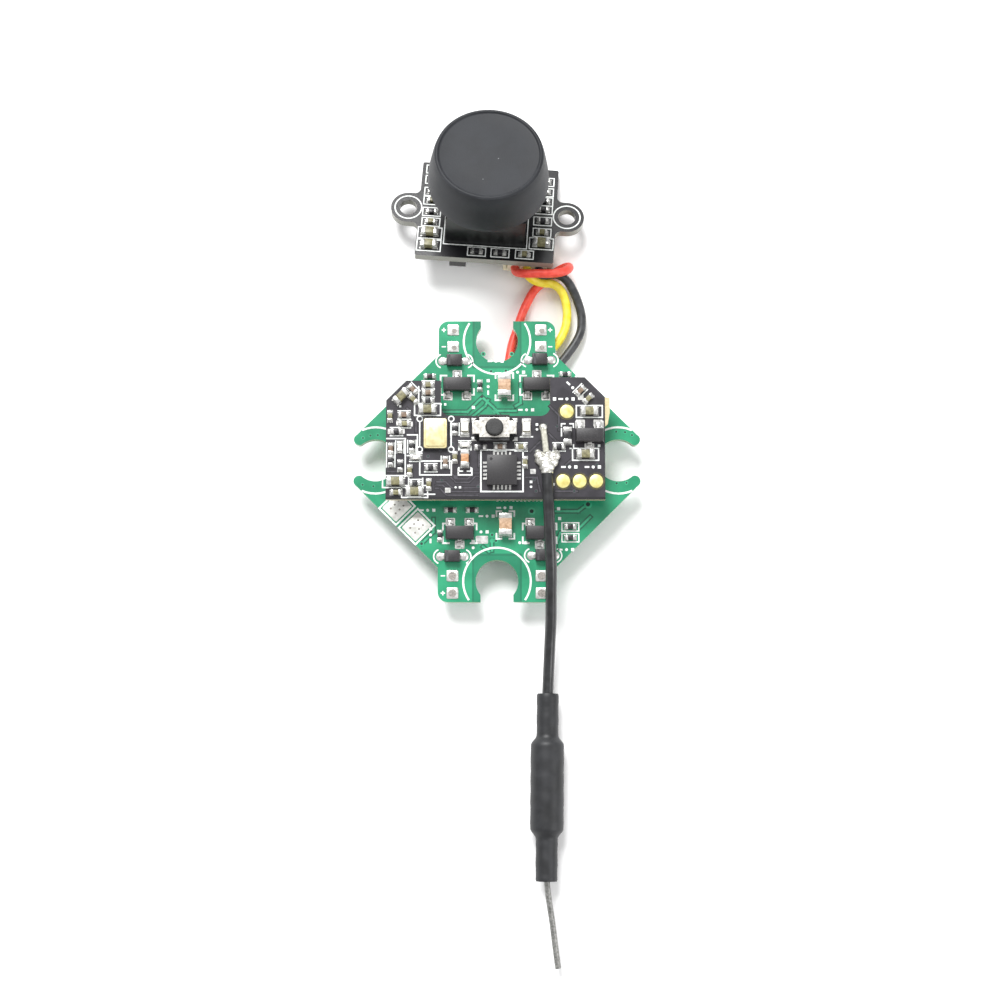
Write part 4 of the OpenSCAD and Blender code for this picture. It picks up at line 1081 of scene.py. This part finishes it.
for x, y, count, turn, size in (
    (7.6, 6.9, 3, -45, 1.0), (6.7, 5.75, 4, 0, 1.0), (7.25, -1.15, 3, 0, 1.0), (9.6, -1.15, 3, 0, 1.0),
    (4.0, 2.9, 2, 90, 0.8), (-2.1, 2.6, 2, 90, 0.8), (-8.7, 6.3, 2, 45, 0.8), (-9.7, 5.0, 1, 0, 0.7),
    (-7.0, 3.6, 2, 0, 0.6), (-3.9, -3.2, 2, 0, 0.7), (-5.4, 5.2, 2, 0, 0.7), (3.4, -2.9, 2, 90, 0.8),
    (5.6, -2.9, 1, 0, 0.8), (10.2, 1.0, 1, 90, 0.8), (-10.4, -0.4, 2, 90, 0.7), (-6.4, -1.35, 1, 0, 0.7),
):
    marks(bm, x, y, z, count, turn, size)
piece("video_board_print", bm, [silk], "root", ())

# %% Traces and holes on the video board
trace_black = grained("trace_black", paint(58, 56, 62), paint(76, 73, 80), 0.3, 0.4, coat=0.4)
gap_black = grained("gap_black", paint(14, 14, 16), paint(26, 25, 29), 0.32, 0.4, coat=0.4)
bm = bmesh.new()
z = video_top - 0.006
bus = [
    [(-1.9, -3.25), (-4.5, -3.25), (-5.1, -2.65), (-6.0, -2.65)],
    [(-1.9, -3.62), (-4.75, -3.62), (-5.4, -2.98), (-6.1, -2.98)],
    [(-1.9, -4.0), (-5.0, -4.0), (-5.7, -3.3), (-6.1, -3.3)],
    [(-4.35, -1.95), (-3.95, -2.35), (-2.9, -2.35), (-2.3, -1.75), (-1.8, -1.75)],
    [(-4.6, -2.2), (-4.1, -2.7), (-2.75, -2.7), (-2.15, -2.1), (-1.8, -2.1)],
]
for points in bus:
    trace(bm, points, z, 0.26, 0.14)
for points in (
    [(5.3, 5.0), (6.2, 4.1), (6.2, 2.6)], [(5.2, 2.2), (5.9, 1.5), (6.9, 1.0)],
    [(7.7, 0.9), (7.7, -0.2), (6.9, -0.9)], [(-9.0, 4.8), (-8.1, 3.9), (-8.1, 2.4)],
    [(-10.9, -1.6), (-9.6, -1.6)], [(2.9, -2.2), (4.0, -2.2), (4.3, -3.6)],
    [(-1.8, 0.1), (-1.8, -1.1)], [(3.3, 0.4), (4.3, 1.4)], [(8.0, -3.6), (5.9, -3.6)],
):
    trace(bm, points, z, 0.34, 0.16)
# Plated holes are scattered where no part, pad or wire stands
holes = random.Random(11)
taken = [(p[0], p[1]) for p in video_small + video_medium] + [(button.x, button.y), (lid.x, lid.y)]
taken += [(transmitter.x, transmitter.y), (9.3, 2.0), (5.0, 0.0), (5.0, -1.0), (-3.2, 2.9), (3.0, 2.9)]
for _ in range(160):
    x, y = holes.uniform(-10.8, 10.4), holes.uniform(-3.9, 3.6)
    if min(math.hypot(x - a, y - b) for a, b in taken) > 1.15:
        taken.append((x, y))
        via(bm, x, y, z, 0.2, 0.1, 12)
for x, y in (
    (-9.8, 3.3), (-8.7, 3.2), (-10.65, 2.45), (-9.5, 2.45), (-7.6, -2.85), (-4.9, -3.5), (3.6, -1.6),
    (8.4, 5.9),
):
    stamp(bm, block((0.55, 0.5, 0.03), corner=0.06, finish=3), spot(x, y, z))
for x, y in ((8.35, 3.3), (10.1, 3.3), (9.2, 0.9)):
    stamp(bm, block((0.9, 0.7, 0.03), corner=0.06, finish=3), spot(x, y, z))
piece("video_board_traces", bm, [trace_black, gap_black, via_dark, tin], "root", ())

# %% Print on the camera board
bm = bmesh.new()
z = camera_top - 0.004
for side in (-1, 1):
    ear = (ear_right - ear_left).length / 2 * side
    stamp(bm, ring_part(1.38, 0.13, INK, 0, 360), spot(ear, 0, z))
for x, y, _, length, width, _, turn in camera_small:
    wide, deep = (0.92, 0.5) if length < 1.3 else (1.22, 0.68)
    frame_round(bm, *around(x, y, wide, deep), z, 0.11)
holder_low, holder_high = extent("lens_holder", camera_place)
frame_round(
    bm, holder_low.x - 0.22, holder_low.y - 0.15, holder_high.x + 0.22, holder_high.y + 0.15, z, 0.11
)
piece("camera_board_print", bm, [silk], "root", (), camera_place)

# %% [markdown]
# ## The antenna's solder joint
# The coax's braid is soldered down in one rough, bright blob. Several squashed balls are joined into
# one skin by a voxel remesh, which gives the uneven flowing shape that hand soldering leaves.

# %% The solder blob
blob_bottom = extent("antenna_solder")[0].z
solder = random.Random(5)
bm = bmesh.new()
for x, y, z, rx, ry, rz in (
    (5.0, -1.75, 0.5, 0.62, 0.42, 0.62), (5.0, -1.2, 0.42, 0.78, 0.6, 0.6),
    (4.75, -0.55, 0.3, 1.0, 0.55, 0.55), (4.3, -0.05, 0.2, 0.6, 0.5, 0.4),
    (5.75, -0.1, 0.22, 0.62, 0.5, 0.42), (5.1, 0.1, 0.24, 0.5, 0.42, 0.4),
    (5.6, -0.7, 0.32, 0.55, 0.5, 0.42), (4.1, 0.35, 0.12, 0.3, 0.28, 0.22),
    (5.95, 0.3, 0.12, 0.32, 0.28, 0.22),
):
    ball = bmesh.ops.create_icosphere(bm, subdivisions=3, radius=1.0)["verts"]
    bmesh.ops.scale(bm, vec=(rx, ry, rz), verts=ball)
    bmesh.ops.translate(bm, vec=(x, y, blob_bottom + z), verts=ball)
for vert in bm.verts:
    vert.co += Vector([solder.uniform(-0.035, 0.035) for _ in range(3)])
    vert.co.z = max(vert.co.z, blob_bottom + 0.01)
lump = bmesh.ops.create_icosphere(bm, subdivisions=3, radius=0.42)["verts"]
bmesh.ops.scale(bm, vec=(1, 1, 0.85), verts=lump)
bmesh.ops.translate(bm, vec=(4.62, 2.82, blob_bottom + 0.12), verts=lump)
for vert in lump:
    vert.co.z = max(vert.co.z, blob_bottom + 0.01)
blob = piece("antenna_joint", bm, [hand_solder], "root", ["antenna_solder"])
remesh = blob.modifiers.new("skin", "REMESH")
remesh.mode = "VOXEL"
remesh.voxel_size = 0.055 * MM
remesh.use_smooth_shade = True
smooth = blob.modifiers.new("flow", "SMOOTH")
smooth.factor, smooth.iterations = 0.6, 4
depsgraph = bpy.context.evaluated_depsgraph_get()
blob.data = bpy.data.meshes.new_from_object(blob.evaluated_get(depsgraph))
blob.modifiers.clear()
print("solder blob has", len(blob.data.polygons), "faces")

# %% [markdown]
# ## The heat-shrunk sleeve
# Heat-shrink tube grips the coax at both ends and the ferrule in its middle. Its outline runs along it
# in small steps with a soft shoulder at each change, and the faint waves of shrinking in between.

# %% The sleeve
def smooth_step(low, high, value):
    share = min(1.0, max(0.0, (value - low) / (high - low)))
    return share * share * (3 - 2 * share)


sleeve_low, sleeve_high = extent("antenna_sleeve")
sleeve_length = sleeve_high.y - sleeve_low.y
middle_radius = (sleeve_high.z - sleeve_low.z) / 2
end_radius, shoulder_at, tube_radius, rings = 1.1, 4.3, 0.645, 92
ripple = random.Random(3)
outline = [(tube_radius, 0.0, 0), (end_radius - 0.06, 0.0, 0)]
for step in range(1, rings):
    along = step * sleeve_length / rings
    swell = smooth_step(shoulder_at - 0.15, shoulder_at + 0.85, along)
    swell *= 1 - smooth_step(sleeve_length - shoulder_at - 0.85, sleeve_length - shoulder_at + 0.15, along)
    wave = 0.012 * math.sin(along * 3.1) + ripple.uniform(-0.006, 0.006)
    outline.append((end_radius - 0.01 + (middle_radius - end_radius - 0.02) * swell + wave, along, 0))
outline += [(end_radius - 0.06, sleeve_length, 0), (tube_radius, sleeve_length, 0)]
sleeve_place = (
    Matrix.Translation((5.1, -23.5, 1.75)) @ Matrix.Rotation(math.radians(-0.6), 4, "Z")
    @ Matrix.Rotation(math.radians(90), 4, "X")
)
sleeve = piece(
    "heat_shrink_sleeve", lathe(outline, 56, closed=True), [heat_shrink], "root", ["antenna_sleeve"],
    sleeve_place, 60,
)

# %% [markdown]
# ## Finishes for the cords
# The coax is soldered down at one end, and its other end is in the sleeve's fitting. The three camera
# wires are each under 30 mm long. Each cord gets its finish here, and the CAD node it stands for is hidden.
# The three camera wires are each under 30 mm, too short to be declared.

# %% Cord finishes
for cord, finish, node, slot in (
    (coax, jacket, "antenna_coax", "cable_black"), (whip, whip_metal, "antenna_whip", "solder"),
    (wires["red"], red_wire, "wire_red", "wire_red"),
    (wires["yellow"], yellow_wire, "wire_yellow", "wire_yellow"),
    (wires["black"], black_wire, "wire_black", "wire_black"),
):
    cord.data.materials.append(finish.material)
    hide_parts(node)

# %% [markdown]
# ## CAD pieces that stay
# Boards, the lens holder, the button's base and plate, and the parts underneath are the right shape
# already. They keep their CAD meshes and get a finish. A Weld and a Bevel modifier soften the edges of
# the moulded ones, because no real edge is perfectly sharp.

# %% Finishes and softened edges for the CAD nodes
kept = {
    "main_board": (green, 0), "video_board": (black, 0), "camera_board": (camera_mask, 0),
    "boost_inductor": (ferrite, 0.12), "boost_regulator": (epoxy, 0.03), "output_capacitors": (tantalum, 0.1),
    "header_spacer_left": (black_plastic, 0.05), "header_spacer_right": (black_plastic, 0.05),
    "header_pins_left": (pin_gold, 0.04), "header_pins_right": (pin_gold, 0.04),
    "crystal_base": (ceramic_dark, 0.03), "button_base": (black_plastic, 0.05), "button_plate": (steel, 0.035),
    "button_contact": (steel, 0), "antenna_core": (core, 0), "antenna_ferrule": (pin_gold, 0),
    "lens_holder": (gloss, 0.14), "image_sensor": (sensor, 0.03), "infrared_filter": (red_filter, 0.03),
    "camera_underside_part": (epoxy, 0.04), "camera_socket": (cream, 0.06), "camera_plug": (cream, 0.06),
    "rear_glass": (lens_coat, 0), "wire_joints": (hand_solder, 0.25),
}
for name, (finish, softness) in kept.items():
    node = nodes[name]
    node.data.materials.clear()
    node.data.materials.append(finish.material)
    if softness:
        weld = node.modifiers.new("join", "WELD")
        weld.merge_threshold = 0.001 * MM
        soft = node.modifiers.new("edges", "BEVEL")
        soft.width, soft.segments, soft.limit_method = softness * MM, 3, "ANGLE"
        soft.angle_limit = math.radians(40)
print(len(kept), "CAD nodes keep their shape")
left = sorted(n for n, o in nodes.items() if n not in kept and not o.hide_render)
print("nodes not yet dealt with:", left)

# %% [markdown]
# ## Floor and light
# The set lies on a plain white table in soft light from all round, with a broad lamp up to the left so
# that its shadow falls softly to the right and near side.

# %% The floor and the lights
white_table = Finish("white_table", paint(254, 254, 254), 0.7)
bm = bmesh.new()
bmesh.ops.create_grid(bm, x_segments=1, y_segments=1, size=3.0)
mesh = bpy.data.meshes.new("table")
bm.to_mesh(mesh)
bm.free()
mesh.materials.append(white_table.material)
table = bpy.data.objects.new("table", mesh)
bpy.context.scene.collection.objects.link(table)


def lamp(name, place, aim, size, power):
    data = bpy.data.lights.new(name, "AREA")
    data.shape, data.size, data.energy = "DISK", size, power
    made = bpy.data.objects.new(name, data)
    made.location = place
    made.rotation_euler = (Vector(aim) - Vector(place)).to_track_quat("-Z", "Y").to_euler()
    bpy.context.scene.collection.objects.link(made)


lamp("key_lamp", (-0.14, 0.4, 0.5), (0, -0.01, 0), 0.34, 5.6)
lamp("fill_lamp", (0.5, -0.22, 0.42), (0, -0.01, 0), 0.4, 1.6)
world = bpy.data.worlds.new("studio")
bpy.context.scene.world = world
world.use_nodes = True
world.node_tree.nodes["Background"].inputs["Color"].default_value = (1, 1, 1, 1)
world.node_tree.nodes["Background"].inputs["Strength"].default_value = 0.6
bpy.context.scene.view_settings.view_transform = "Standard"
